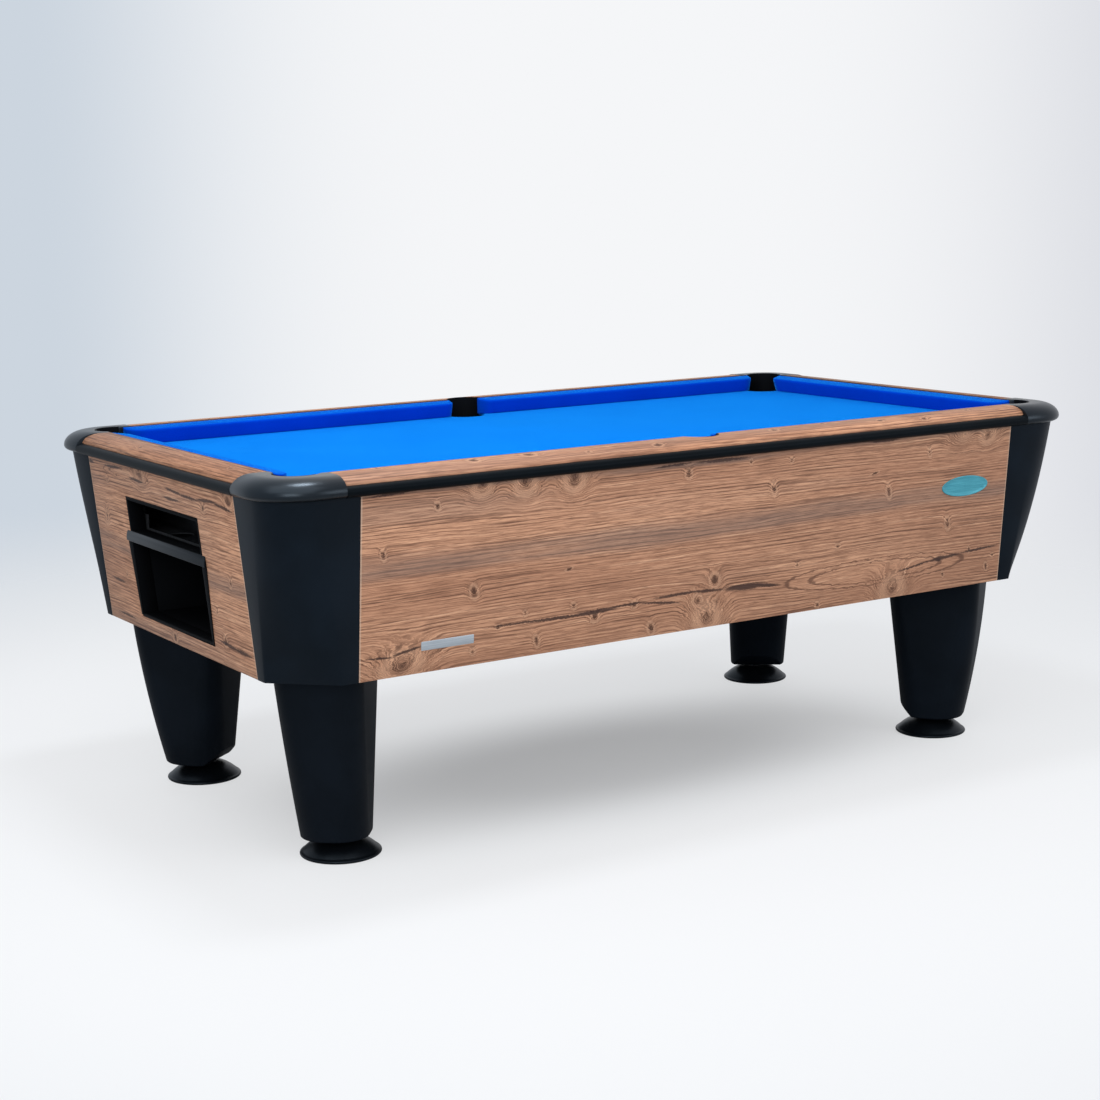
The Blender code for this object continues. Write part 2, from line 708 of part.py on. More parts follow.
def build_return():
    half = RETURN_WIDTH / 2
    face = half_length
    frame = [
        (face(RETURN_BOTTOM_Z), RETURN_BOTTOM_Z),
        (face(RETURN_TOP_Z), RETURN_TOP_Z),
        (face(RETURN_TOP_Z) - RETURN_DEPTH, RETURN_TOP_Z),
        (face(RETURN_BOTTOM_Z) - RETURN_DEPTH, RETURN_BOTTOM_Z),
    ]
    bm = prism(mirrored(frame, -1), along_y, -half, half)
    bezel = to_object(bm, "return_bezel", "black_moulding")
    lip = [
        (face(BAR_BOTTOM_Z) + GAP, BAR_BOTTOM_Z),
        (face(BAR_BOTTOM_Z) + LIP_PROUD, BAR_BOTTOM_Z),
        (face(BAR_BOTTOM_Z) + LIP_PROUD, BAR_BOTTOM_Z + LIP_FACE),
        (face(BAR_TOP_Z) + GAP, BAR_TOP_Z),
    ]
    bm = prism(mirrored(lip, -1), along_y, -half - LIP_OVERLAP, half + LIP_OVERLAP)
    join(bezel, to_cutter(bm, "return_lip"))
    steps = ((0, -RETURN_FRAME), (0, GAP), (3, GAP), (3, -RETURN_FRAME))
    root = [(lip[k][0] + reach, lip[k][1]) for k, reach in steps]
    bm = prism(mirrored(root, -1), along_y, -half, half)
    join(bezel, to_cutter(bm, "return_lip_root"))
    reach = face(BED_Z) + 2 * LIP_PROUD
    back = face(RETURN_BOTTOM_Z) - 2 * RETURN_DEPTH
    opening = half - RETURN_FRAME
    upper = box((-reach, -opening, BAR_TOP_Z), (-back, opening, RETURN_TOP_Z - RETURN_FRAME))
    cut(bezel, to_cutter(upper, "upper_window"))
    lower = box((-reach, -opening, RETURN_BOTTOM_Z + RETURN_FRAME), (-back, opening, BAR_BOTTOM_Z))
    cut(bezel, to_cutter(lower, "lower_window"))
    floor_z = RETURN_BOTTOM_Z + RETURN_FRAME - BIN_WALL
    top_z = TRAY_BOTTOM_Z - BIN_TOP_SPACE
    side = opening + BIN_WALL
    front_low = face(floor_z) - RETURN_DEPTH - GAP
    front_high = face(top_z) - RETURN_DEPTH - GAP
    rear = front_low - BIN_DEPTH
    outline = [(-front_low, floor_z), (-front_high, top_z), (-rear, top_z), (-rear, floor_z)]
    tub = to_object(prism(outline, along_y, -side, side), "return_bin", "black_moulding")
    inside = box((-reach, -opening, floor_z + BIN_WALL), (-rear - BIN_WALL, opening, top_z + BIN_WALL))
    cut(tub, to_cutter(inside, "bin_inside"))


def rounded_rectangle(half_width_t, front, back, radius):
    """Outline as (across, outward), with its corners rounded in the same number of steps."""
    limit = min(radius, half_width_t, (front + back) / 2)
    corners = (
        (half_width_t - limit, front - limit, 0),
        (limit - half_width_t, front - limit, 90),
        (limit - half_width_t, limit - back, 180),
        (half_width_t - limit, limit - back, 270),
    )
    points = []
    for p, q, start in corners:
        points += arc((p, q), limit, limit, start, start + 90, LEG_CORNER_STEPS)
    return points


def leg_ring(fall, shrink):
    """Leg outline at a share of the way down, as (across, outward) from the leg's own middle."""
    half = (LEG_TOP_WIDTH + (LEG_FOOT_WIDTH - LEG_TOP_WIDTH) * fall) / 2 - shrink
    deep = (LEG_TOP_DEPTH + (LEG_FOOT_DEPTH - LEG_TOP_DEPTH) * fall) / 2 - shrink
    bulge = LEG_BULGE * 4 * fall * (1 - fall)
    radius = LEG_TOP_ROUND + (LEG_FOOT_ROUND - LEG_TOP_ROUND) * fall
    return rounded_rectangle(half, deep + bulge, deep, radius)


def build_legs():
    outward = Vector((math.cos(math.radians(LEG_TURN)), math.sin(math.radians(LEG_TURN))))
    across = Vector((outward.y, -outward.x))
    top_z = BASE_Z - GAP
    edge_z = LEG_CLEARANCE + LEG_EDGE
    levels = [(top_z + (edge_z - top_z) * i / LEG_LEVELS, 0.0) for i in range(LEG_LEVELS + 1)]
    levels.append((LEG_CLEARANCE, LEG_EDGE))
    hollow_z = LEG_CLEARANCE + LEG_SOLID_END
    hollow = [(top_z + LEG_EDGE, LEG_WALL)]
    hollow += [(top_z + (hollow_z - top_z) * i / 3, LEG_WALL) for i in range(4)]
    bore = STEM_DIAMETER / 2 + SCREW_CLEARANCE
    bore_top = STEM_SEAT + STEM_LENGTH + 2 * FOOT_TRAVEL_UP
    nut_space = STEM_NUT_WIDTH * 0.75
    for name, (sx, sy) in CORNERS.items():
        bodies = []
        for stack in (levels, hollow):
            rings = []
            for z, shrink in stack:
                fall = (top_z - z) / (top_z - LEG_CLEARANCE)
                offset = LEG_TOP_OFFSET + (LEG_FOOT_OFFSET - LEG_TOP_OFFSET) * fall
                ring = []
                for p, q in leg_ring(max(fall, 0.0), shrink):
                    spot = across * p + outward * q
                    ring.append((sx * (FOOT_X + offset + spot.x), sy * (FOOT_Y + spot.y), z))
                rings.append(ring)
            bodies.append(loft(rings))
        leg = to_object(bodies[0], "leg_" + name, "black_leg")
        cut(leg, to_cutter(bodies[1], "leg_hollow_" + name))
        wide = LEG_TOP_WIDTH
        heel = [
            (LEG_HEEL_START, 0.0),
            (LEG_HEEL_START, LEG_CLEARANCE),
            (LEG_HEEL_START + wide, LEG_CLEARANCE + LEG_HEEL_RISE * wide),
            (LEG_HEEL_START + wide, 0.0),
        ]
        heel_rings = []
        for p in (-wide, wide):
            ring = []
            for inward, z in heel:
                spot = across * p - outward * inward
                ring.append((sx * (FOOT_X + spot.x), sy * (FOOT_Y + spot.y), z))
            heel_rings.append(ring)
        cut(leg, to_cutter(loft(heel_rings), "leg_heel_" + name))
        place = (sx * FOOT_X, sy * FOOT_Y, 0.0)
        hole = drum(bore, 0.0, bore_top, ROUND_STEPS // 2)
        cut(leg, to_cutter(hole, "leg_bore_" + name, place))
        recess = drum(nut_space, 0.0, LEG_CLEARANCE + LEG_NUT_SPACE, ROUND_STEPS // 2)
        cut(leg, to_cutter(recess, "leg_recess_" + name, place))


def build_feet():
    rim = PAD_DIAMETER / 2
    hub = PAD_HUB_DIAMETER / 2
    socket = STEM_DIAMETER / 2 + SCREW_CLEARANCE
    rim_edge = arc((rim - PAD_RIM / 2, PAD_RIM / 2), PAD_RIM / 2, PAD_RIM / 2, -90, 90, CORNER_STEPS // 2)
    foot_of_dome = rim - PAD_RIM / 2
    dome = []
    for i in range(1, PAD_DOME_STEPS + 1):
        share = 1 - i / PAD_DOME_STEPS
        drop = (PAD_HEIGHT - PAD_RIM) * share * share
        dome.append((hub + (foot_of_dome - hub) * share, PAD_HEIGHT - drop))
    pad_profile = [
        (0.0, 0.0),
        *rim_edge,
        *dome,
        (socket, PAD_HEIGHT),
        (socket, STEM_SEAT - GAP),
        (0.0, STEM_SEAT - GAP),
    ]
    stem = STEM_DIAMETER / 2
    nut_low = PAD_HEIGHT + GAP
    nut_high = nut_low + STEM_NUT_HEIGHT
    stem_top = STEM_SEAT + STEM_LENGTH
    nut_radius = STEM_NUT_WIDTH / math.sqrt(3.0)
    for name, (sx, sy) in CORNERS.items():
        place = (sx * FOOT_X, sy * FOOT_Y, 0.0)
        to_object(lathe(pad_profile, ROUND_STEPS), "foot_pad_" + name, "black_moulding", place)
        bm = drum(stem, STEM_SEAT, stem_top, ROUND_STEPS // 2)
        shaft = to_object(bm, "foot_stem_" + name, "zinc_steel", place)
        nut_outline = arc((0.0, 0.0), nut_radius, nut_radius, 0, 300, 5)
        join(shaft, to_cutter(prism(nut_outline, along_z, nut_low, nut_high), "stem_nut_" + name, place))


def main():
    clear_scene()
    build_panels()
    build_posts()
    build_base()
    build_bearers()
    build_bed()
    build_rails()
    build_caps()
    build_cushions()
    build_liners()
    build_gullies()
    build_tray()
    build_return()
    build_legs()
    build_feet()


main()
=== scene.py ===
"""English pool table with a ball return: the finished look of each piece, in metres with +Z up.

X runs along the length with the ball return at the -X end, and the front long side faces -Y.
"""
import math

import bmesh
import bpy
from mathutils import Matrix, Vector


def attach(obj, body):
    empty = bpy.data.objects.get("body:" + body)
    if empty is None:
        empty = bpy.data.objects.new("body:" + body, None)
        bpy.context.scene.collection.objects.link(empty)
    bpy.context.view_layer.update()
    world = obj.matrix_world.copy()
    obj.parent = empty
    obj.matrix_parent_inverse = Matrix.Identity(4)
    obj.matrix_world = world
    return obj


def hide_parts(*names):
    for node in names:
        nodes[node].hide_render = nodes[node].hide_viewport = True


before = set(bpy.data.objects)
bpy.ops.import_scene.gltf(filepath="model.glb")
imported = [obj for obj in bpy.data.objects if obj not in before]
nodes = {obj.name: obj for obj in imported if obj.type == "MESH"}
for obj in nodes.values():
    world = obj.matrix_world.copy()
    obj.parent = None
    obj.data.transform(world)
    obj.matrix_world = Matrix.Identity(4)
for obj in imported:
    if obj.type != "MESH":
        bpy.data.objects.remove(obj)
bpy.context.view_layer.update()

# Sizes of the table that the fine pieces follow
GAP = 0.0003
OVERCUT = 0.01
BED_Z = 0.794
CABINET_DEPTH = 0.384
BASE_Z = BED_Z - CABINET_DEPTH
LENGTH_AT_BASE = 2.057
WIDTH_AT_BASE = 1.094
LEAN = 0.0975
PANEL_THICKNESS = 0.020
WALL_RUN = PANEL_THICKNESS * math.sqrt(1.0 + LEAN * LEAN)
POST_ALONG_SIDE = 0.1535
POST_ALONG_END = 0.146
POST_WALL = 0.012
POST_CREASE = 0.004
POST_SWEEP = 2.3
CHAMFER_ALONG_SIDE = 0.116
CHAMFER_ALONG_END = 0.114
SIDE_PANEL_HALF = LENGTH_AT_BASE / 2 - POST_ALONG_SIDE
END_PANEL_HALF = WIDTH_AT_BASE / 2 - POST_ALONG_END

RAIL_HEIGHT = 0.0424
RAIL_WIDTH = 0.069
RAIL_OVERHANG = 0.0016
RAIL_ROUND = 0.0205
RAIL_ROUND_WIDTH = 0.045
RAIL_INNER_EDGE = 0.0012
RAIL_TOP_Z = BED_Z + RAIL_HEIGHT
RAIL_BOTTOM_Z = BED_Z + GAP
RAIL_OUT_X = LENGTH_AT_BASE / 2 + LEAN * CABINET_DEPTH + RAIL_OVERHANG
RAIL_OUT_Y = WIDTH_AT_BASE / 2 + LEAN * CABINET_DEPTH + RAIL_OVERHANG
RAIL_IN_X = RAIL_OUT_X - RAIL_WIDTH
RAIL_IN_Y = RAIL_OUT_Y - RAIL_WIDTH
CAP_ALONG_SIDE = 0.1554
CAP_ALONG_END = 0.157
RAIL_END_X = RAIL_OUT_X - CAP_ALONG_SIDE
RAIL_END_Y = RAIL_OUT_Y - CAP_ALONG_END
BUMPER_HEIGHT = 0.0235
BUMPER_PROUD = 0.017
BUMPER_FULLNESS = 0.82
BUMPER_MID_Z = RAIL_TOP_Z - RAIL_ROUND - BUMPER_HEIGHT / 2
CAP_RADIUS = 0.100
CAP_FLAT = 0.032
CAP_MOUTH_LIP = 0.0034
RAIL_MOUTH_LIP = 0.0018

CUSHION_WIDTH = 0.0435
CUSHION_BACK_HEIGHT = 0.0405
NOSE_HEIGHT = 0.0335
NOSE_THICKNESS = 0.005
CUSHION_UNDERCUT = 0.013
CUSHION_EASING = (0.0, 0.0016, 0.0050, 0.0050, 0.0022)
CORNER_JAW = 0.045
CORNER_JAW_REACH = 0.032
MIDDLE_JAW = 0.030
MIDDLE_GAP = 0.085
JAW_SWEEP = math.radians(75.0)
NOSE_X = RAIL_IN_X - CUSHION_WIDTH
NOSE_Y = RAIL_IN_Y - CUSHION_WIDTH

LINER_INSIDE = 0.044
LINER_OUTSIDE = 0.0475
LINER_DROP = 0.064
LINER_FRONT_CUT = 0.012
CORNER_POCKET_BACK = 0.0105
MIDDLE_POCKET_BACK = 0.0325
POCKET_X = NOSE_X + CORNER_POCKET_BACK
POCKET_Y = NOSE_Y + CORNER_POCKET_BACK
MIDDLE_POCKET_Y = NOSE_Y + MIDDLE_POCKET_BACK
CLOTH_THICKNESS = 0.001
CLOTH_MARGIN = 0.002
CLOTH_BEND = 0.0026
CLOTH_TUCK = 0.013
SLATE_CLEARANCE = 0.003
SLATE_THICKNESS = 0.019
SLATE_LOW_Z = BED_Z - CLOTH_THICKNESS - GAP - SLATE_THICKNESS

RETURN_WIDTH = 0.400
RETURN_DEPTH = 0.035
RETURN_FRAME = 0.008
RETURN_BELOW_BED = 0.075
RETURN_ABOVE_BASE = 0.033
RETURN_TOP_Z = BED_Z - RETURN_BELOW_BED
RETURN_BOTTOM_Z = BASE_Z + RETURN_ABOVE_BASE
RETURN_OPENING = RETURN_WIDTH / 2 - RETURN_FRAME
WINDOW_HEIGHT = 0.070
BAR_HEIGHT = 0.024
BAR_TOP_Z = RETURN_TOP_Z - RETURN_FRAME - WINDOW_HEIGHT
BAR_BOTTOM_Z = BAR_TOP_Z - BAR_HEIGHT
LIP_PROUD = 0.006
LIP_FACE = 0.012
LIP_OVERLAP = 0.0165
CHEEK_TOP = 0.2165
CHEEK_FOOT = 0.2015
CHEEK_PROUD = 0.0014
CHEEK_RAISED = 0.004
TRAY_BELOW_BED = 0.119
TRAY_HEIGHT = 0.046
TRAY_TOP_Z = BED_Z - TRAY_BELOW_BED
TRAY_BOTTOM_Z = TRAY_TOP_Z - TRAY_HEIGHT
TRAY_WALL = 0.003
TRAY_WIDTH = 0.095
TRAY_HOLLOW = 0.016
DROP_RADIUS = 0.031
DROP_PLACE = 0.120
RUN_HALF_WIDTH = 0.0465
RUN_WALL = 0.009
TRAY_HALF = POCKET_Y - RUN_HALF_WIDTH - RUN_WALL - GAP
BIN_DEPTH = 0.180
BIN_WALL = 0.003
BIN_BELOW_TRAY = 0.004
BIN_SCOOP = 0.060

FOOT_FROM_END = 0.1925
FOOT_FROM_SIDE = 0.188
FOOT_X = LENGTH_AT_BASE / 2 - FOOT_FROM_END
FOOT_Y = WIDTH_AT_BASE / 2 - FOOT_FROM_SIDE
LEG_TURN = 52.2
LEG_CLEARANCE = 0.044
LEG_EDGE = 0.004
LEG_TOP_EASE = ((0.0, 0.0015), (0.0005, 0.0006), (0.0015, 0.0))
LEG_BULGE = 0.008
LEG_WIDTH = (0.190, 0.147)
LEG_DEPTH = (0.230, 0.151)
LEG_CORNER = (0.034, 0.060)
LEG_OFFSET = (0.018, 0.008)
HEEL_IN = 0.037
HEEL_RUN = 0.190
HEEL_RISE = 0.171
BORE_CLEARANCE = 0.0004
BORE_TOP = 0.140
NUT_HOLLOW_RADIUS = 0.0165
NUT_HOLLOW_DEPTH = 0.012
PAD_RADIUS = 0.087
PAD_RIM = 0.007
PAD_HUB = 0.022
PAD_HEIGHT = 0.0375
PAD_FLAT_INSET = 0.006
STEM_RADIUS = 0.006
STEM_SEAT = 0.010
STEM_TOP = 0.130
STEM_EASE = 0.0008
STEM_POINT = 0.0018
THREAD_MARGIN = 0.001
THREAD_PITCH = 0.00175
THREAD_DEPTH = 0.00085
NUT_HEIGHT = 0.0075
NUT_WIDTH = 0.022
NUT_FACE_RADIUS = 0.0105
NUT_CHAMFER = 0.0013

OVAL_PLATE = (0.739, 0.659)
OVAL_HALF = (0.0725, 0.0245)
OVAL_STEPS = (
    (0.0, 0.0002), (0.0, 0.0014), (0.0006, 0.0020), (0.0030, 0.0020), (0.0036, 0.0015), (0.0120, 0.0019),
)
LABEL_PLATE = ((-0.734, 0.457), (-0.610, 0.457), (-0.610, 0.476), (-0.734, 0.476))
LABEL_MIDDLE = (-0.672, 0.4665)
LABEL_STEPS = ((0.0, 0.0002), (0.0, 0.0007), (0.0004, 0.0010))

CORNERS = {
    "front_return": (-1, -1),
    "front_plain": (1, -1),
    "back_return": (-1, 1),
    "back_plain": (1, 1),
}
SIDES = {"front": -1, "back": 1}
ENDS = {"return": -1, "plain": 1}

# Camera
CAMERA_PLACE = (-2.7476, -4.2194, 1.4011)
CAMERA_YAW = math.radians(32.41)
CAMERA_PITCH = math.radians(10.06)
CAMERA_ROLL = math.radians(-1.10)
SENSOR_WIDTH = 36.0
FOCAL_SHARE = 2105.0 / 1100.0


def link(made):
    bpy.context.scene.collection.objects.link(made)
    return made


def look_through_camera():
    level = math.cos(CAMERA_PITCH)
    ahead = Vector((math.sin(CAMERA_YAW) * level, math.cos(CAMERA_YAW) * level, -math.sin(CAMERA_PITCH)))
    right = Vector((math.cos(CAMERA_YAW), -math.sin(CAMERA_YAW), 0.0))
    up = right.cross(ahead)
    tilted_right = right * math.cos(CAMERA_ROLL) + up * math.sin(CAMERA_ROLL)
    tilted_up = up * math.cos(CAMERA_ROLL) - right * math.sin(CAMERA_ROLL)
    lens = bpy.data.cameras.new("camera")
    lens.sensor_width = SENSOR_WIDTH
    lens.lens = SENSOR_WIDTH * FOCAL_SHARE
    camera = link(bpy.data.objects.new("camera", lens))
    turn = Matrix((tilted_right, tilted_up, -ahead)).transposed()
    camera.matrix_world = Matrix.Translation(CAMERA_PLACE) @ turn.to_4x4()
    bpy.context.scene.camera = camera


# Materials
def maths(operation, reflected=False):
    """Operator of a Value that adds one maths node."""

    def apply(value, other=0.0):
        parts = (other, value) if reflected else (value, other)
        return value.tree.node("ShaderNodeMath", {"operation": operation}, dict(enumerate(parts)))

    return apply


class Value:
    """One socket of a node tree. Maths written with it adds the nodes, and | gives the larger of two."""

    __add__ = maths("ADD")
    __radd__ = maths("ADD", reflected=True)
    __sub__ = maths("SUBTRACT")
    __rsub__ = maths("SUBTRACT", reflected=True)
    __mul__ = maths("MULTIPLY")
    __rmul__ = maths("MULTIPLY", reflected=True)
    __truediv__ = maths("DIVIDE")
    __pow__ = maths("POWER")
    __mod__ = maths("FLOORED_MODULO")
    __abs__ = maths("ABSOLUTE")
    __or__ = maths("MAXIMUM")

    def __init__(self, tree, socket):
        self.tree = tree
        self.socket = socket


class Nodes:
    """A node tree that is filled with one method for any node."""

    def __init__(self, tree):
        self.tree = tree

    def node(self, kind, settings=None, sockets=None, output=0):
        node = self.tree.nodes.new(kind)
        for key, value in (settings or {}).items():
            setattr(node, key, value)
        for key, value in (sockets or {}).items():
            self.feed(node.inputs[key], value)
        return Value(self, node.outputs[output])

    def feed(self, socket, value):
        if isinstance(value, Value):
            self.tree.links.new(value.socket, socket)
        else:
            socket.default_value = value

    def place(self):
        return self.node("ShaderNodeTexCoord", output="Object")

    def ray(self, kind):
        return self.node("ShaderNodeLightPath", output="Is %s Ray" % kind)

    def split(self, vector):
        split = self.tree.nodes.new("ShaderNodeSeparateXYZ")
        self.feed(split.inputs[0], vector)
        return [Value(self, socket) for socket in split.outputs]

    def joined(self, x, y, z):
        return self.node("ShaderNodeCombineXYZ", {}, {0: x, 1: y, 2: z})

    def sine(self, angle):
        return self.node("ShaderNodeMath", {"operation": "SINE"}, {0: angle})

    def vector(self, operation, *parts):
        return self.node("ShaderNodeVectorMath", {"operation": operation}, dict(enumerate(parts)))

    def stretch(self, vector, scale):
        return self.vector("MULTIPLY", vector, scale)

    def shaken(self, vector, scale, amount):
        """The vector moved about by a noise of its own."""
        noise = self.node("ShaderNodeTexNoise", {}, {"Vector": self.stretch(vector, scale)}, output=1)
        centred = self.vector("SUBTRACT", noise, (0.5, 0.5, 0.5))
        return self.vector("MULTIPLY_ADD", centred, amount, vector)

    def noise(self, vector, scale=1.0, detail=3.0, roughness=0.5, distortion=0.0):
        sockets = {"Vector": vector, "Scale": scale, "Detail": detail, "Roughness": roughness}
        sockets["Distortion"] = distortion
        return self.node("ShaderNodeTexNoise", {}, sockets)

    def spread(self, value, low, high, to_low=0.0, to_high=1.0):
        sockets = {"Value": value, "From Min": low, "From Max": high, "To Min": to_low, "To Max": to_high}
        return self.node("ShaderNodeMapRange", {"interpolation_type": "SMOOTHSTEP"}, sockets)

    def blend(self, share, first, second, way="MIX"):
        settings = {"data_type": "RGBA", "blend_type": way}
        return self.node("ShaderNodeMix", settings, {0: share, 6: first, 7: second}, output=2)

    def bump(self, height, strength, distance):
        sockets = {"Strength": strength, "Distance": distance, "Height": height}
        return self.node("ShaderNodeBump", {}, sockets)


class Finish(Nodes):
    """One material, its shader and what varies over its surface."""

    def __init__(self, name, **constants):
        self.material = bpy.data.materials.new(name)
        self.material.use_nodes = True
        super().__init__(self.material.node_tree)
        self.shader = self.tree.nodes["Principled BSDF"]
        self.wear(**constants)

    def wear(self, **values):
        for key, value in values.items():
            self.feed(self.shader.inputs[key.replace("_", " ")], value)
        return self.material


def colour(red, green, blue):
    """Linear colour from values as seen on a screen, 0 to 255."""
    parts = []
    for part in (red, green, blue):
        share = part / 255
        parts.append(share / 12.92 if share <= 0.04045 else ((share + 0.055) / 1.055) ** 2.4)
    return (*parts, 1.0)


def scaled(shade, share):
    return (*(share * part for part in shade[:3]), 1.0)


OAK_LIGHT = colour(230, 182, 148)
OAK_PALE = colour(205, 155, 123)
OAK_MIDDLE = colour(184, 135, 106)
OAK_FIBRE = colour(138, 97, 75)
OAK_LINE = colour(88, 58, 46)
OAK_GREY = colour(117, 99, 91)
OAK_PORE = colour(88, 60, 48)
OAK_HEART = colour(66, 42, 33)
# Crack colour, also used for the painted shadow line along the rails' inner edges.
OAK_CRACK_AND_GAP_SHADE = colour(58, 41, 38)
OAK_EDGE = colour(205, 180, 160)
LARGE_KNOT = 0.03
KNOT_TURN = 0.25
KNOT_REACH = 1.6
KNOT_LIFT = 0.85
LINE_SPACING = 0.0078
RING_SPACING = 0.0058
NO_EDGE = 10.0
EDGE_STRIP = 0.0028
EDGE_FADE = 0.0008
# Painted shadow at a rail's inner edge: distances out from the edge where the shade starts and where it is
# full.
PAINTED_GAP_SHADE_EDGES = (0.0066, 0.0036)
COOL_GLOSS = (0.66, 0.83, 1.0, 1.0)
NAP_SHEEN = (0.02, 0.38, 1.0, 1.0)
WEAVE_PITCH = 0.0011
PLY_PITCH = 0.0028


def metres(rows):
    return [[part / 1000 for part in row] for row in rows]


def oak_finish(
    name, along, across, shift, knots, cracks, bands=(), loops=(), edge=NO_EDGE,
    coarse=1.0, painted_gap_shade=None, tint=None,
):
    """Rustic oak laminate: growth lines that bend round knots, fine fibres, grey bands and dark cracks,
    and on the rails a painted shadow line along the inner edge.
    """
    oak = Finish(name, Specular_IOR_Level=0.22)
    x, y, z = oak.split(oak.place())
    s, side = (x, y) if along == "x" else (y, x)
    t = across(x, y, z)
    face = oak.joined(s, t, shift)

    def figure(scale_s, scale_t, detail=2.0):
        return oak.noise(oak.stretch(face, (scale_s, scale_t, 1.0)), detail=detail)

    def cone(where, place_s, place_t, half_s, half_t, turn):
        sockets = {"Vector": where, "Location": (place_s, place_t, shift), "Scale": (half_s, half_t, 1.0)}
        sockets["Rotation"] = (0.0, 0.0, turn)
        spot = oak.node("ShaderNodeMapping", {"vector_type": "TEXTURE"}, sockets)
        return oak.node("ShaderNodeTexGradient", {"gradient_type": "SPHERICAL"}, {0: spot}, output=1)

    def swing(turns):
        return oak.sine(turns * (2 * math.pi))

    drift = figure(1.3, 6.0)
    rough = oak.shaken(face, (38.0, 76.0, 1.0), (0.012, 0.006, 0.0))
    gentle = oak.shaken(face, (11.0, 26.0, 1.0), (0.022, 0.011, 0.0))
    lines = t + drift * 0.034 + figure(7.0, 40.0, 3.0) * 0.0045
    near = 0.0
    eye = 0.0
    for place_s, place_t, half_s, half_t, rise, dark in metres(knots):
        where, depth = (gentle, 0.75) if half_t > LARGE_KNOT else (rough, 0.88)
        lump = cone(where, place_s, place_t, half_s * KNOT_REACH, half_t * KNOT_REACH, KNOT_TURN)
        lines = lines + lump * lump * (rise * KNOT_LIFT)
        near = lump | near
        eye = ((lump * KNOT_REACH - (KNOT_REACH - 1.0)) * (dark * depth)) | eye
    hoop = 0.0
    calm = 0.0
    for place_s, place_t, half_s, half_t in metres(loops):
        lump = cone(gentle, place_s, place_t, half_s, half_t, 0.0)
        curl = oak.spread(swing((lump - 0.13) / 0.23 + 0.25), 0.50, 0.96)
        hoop = (curl * oak.spread(lump, 0.02, 0.08) * oak.spread(lump, 0.52, 0.42)) | hoop
        calm = oak.spread(lump, 0.0, 0.25) | calm
    crack = 0.0
    for place_s, place_t, half, thick, slope in metres(cracks):
        crack = cone(rough, place_s, place_t, half, thick, slope) | crack
    grain = oak.noise(oak.joined(s * 2.4, lines * (190.0 / coarse), shift), detail=4.0, roughness=0.62)
    hair = oak.noise(oak.joined(s * 18.0, lines * (420.0 / coarse), shift), detail=3.0, roughness=0.65)
    growth = oak.spread(swing(lines / (LINE_SPACING * coarse) + figure(1.6, 30.0) * 2.6), 0.40, 0.98)
    ring = oak.spread(swing(lines / RING_SPACING), -0.10, 0.90)
    patch = figure(2.6, 34.0, 3.0)
    strength = oak.spread(patch, 0.36, 0.64, 0.40, 1.0) * (1.0 - calm * 0.75)
    pore = oak.spread(figure(30.0, 620.0), 0.56, 0.72)
    grey = oak.spread(figure(0.6, 9.0), 0.56, 0.72) * 0.6
    for middle, half in metres(bands):
        inside = oak.spread(abs(t + (drift - 0.5) * 0.05 - middle), half, half * 0.2)
        grey = grey | (inside * oak.spread(patch, 0.25, 0.60, 0.35, 1.0))
    halo = oak.spread(eye, 0.12, 0.36) - oak.spread(eye, 0.40, 0.62)
    heart = oak.spread(eye + (grain - 0.5) * 1.1, 0.42, 0.84)
    split = oak.spread(crack + (hair - 0.5) * 0.45, 0.10, 0.55)
    layers = [
        (oak.spread(grain, 0.47, 0.32) * 0.70, OAK_LIGHT),
        (oak.spread(hair, 0.40, 0.66) * 0.72, OAK_FIBRE),
        (oak.spread(grain, 0.51, 0.66) * strength * 0.70, OAK_LINE),
        (growth * strength * oak.spread(hair, 0.30, 0.60, 0.45, 0.80), OAK_LINE),
        (oak.spread(near, 0.30, 0.62) * ring * 0.60, OAK_LINE),
        (hoop * 0.72, OAK_LINE),
        (grey * 0.52, OAK_GREY),
        (pore * 0.50, OAK_PORE),
        ((halo | 0.0) * 0.30, OAK_LIGHT),
        (heart * 0.82, OAK_HEART),
        (split * 0.88, OAK_CRACK_AND_GAP_SHADE),
        (oak.spread(abs(s), edge - EDGE_FADE, edge) * 0.45, OAK_EDGE),
    ]
    # Painted shade: a dark band in the crack colour along the rail's inner edge stands for the shadow in
    # the gap between rail and cushion.
    if painted_gap_shade:
        outer, inner = (painted_gap_shade + width for width in PAINTED_GAP_SHADE_EDGES)
        layers.append((oak.spread(abs(side), outer, inner) * 0.88, OAK_CRACK_AND_GAP_SHADE))
    base = oak.blend(oak.spread(figure(0.9, 5.5), 0.35, 0.65), OAK_MIDDLE, OAK_PALE)
    for share, shade in layers:
        base = oak.blend(share, base, shade)
    if tint:
        base = oak.blend(1.0, base, tint, "MULTIPLY")
    height = hair * 0.6 - grain * strength * 0.5 - pore * 0.5
    roughness = 0.48 + hair * 0.14 + grain * 0.06
    return oak.wear(Base_Color=base, Roughness=roughness, Normal=oak.bump(height, 0.25, 0.0006))


def moulded_finish(name, shade, roughness, grain, depth, gloss):
    """Dark moulded plastic with a fine eroded grain and a faint handled sheen."""
    moulding = Finish(name, Specular_IOR_Level=gloss, Specular_Tint=COOL_GLOSS)
    place = moulding.place()
    pits = moulding.noise(place, grain, 3.0, 0.6)
    cloud = moulding.noise(place, 7.0, 3.0, 0.5)
    dust = moulding.noise(place, 60.0, 4.0, 0.7)
    base = moulding.blend(moulding.spread(cloud, 0.35, 0.70), shade, scaled(shade, 1.6))
    base = moulding.blend(moulding.spread(dust, 0.62, 0.80) * 0.06, base, colour(60, 66, 74))
    return moulding.wear(
        Base_Color=base,
        Roughness=roughness - 0.06 + cloud * 0.08 + pits * 0.06,
        Normal=moulding.bump(pits, depth, 0.0003),
    )


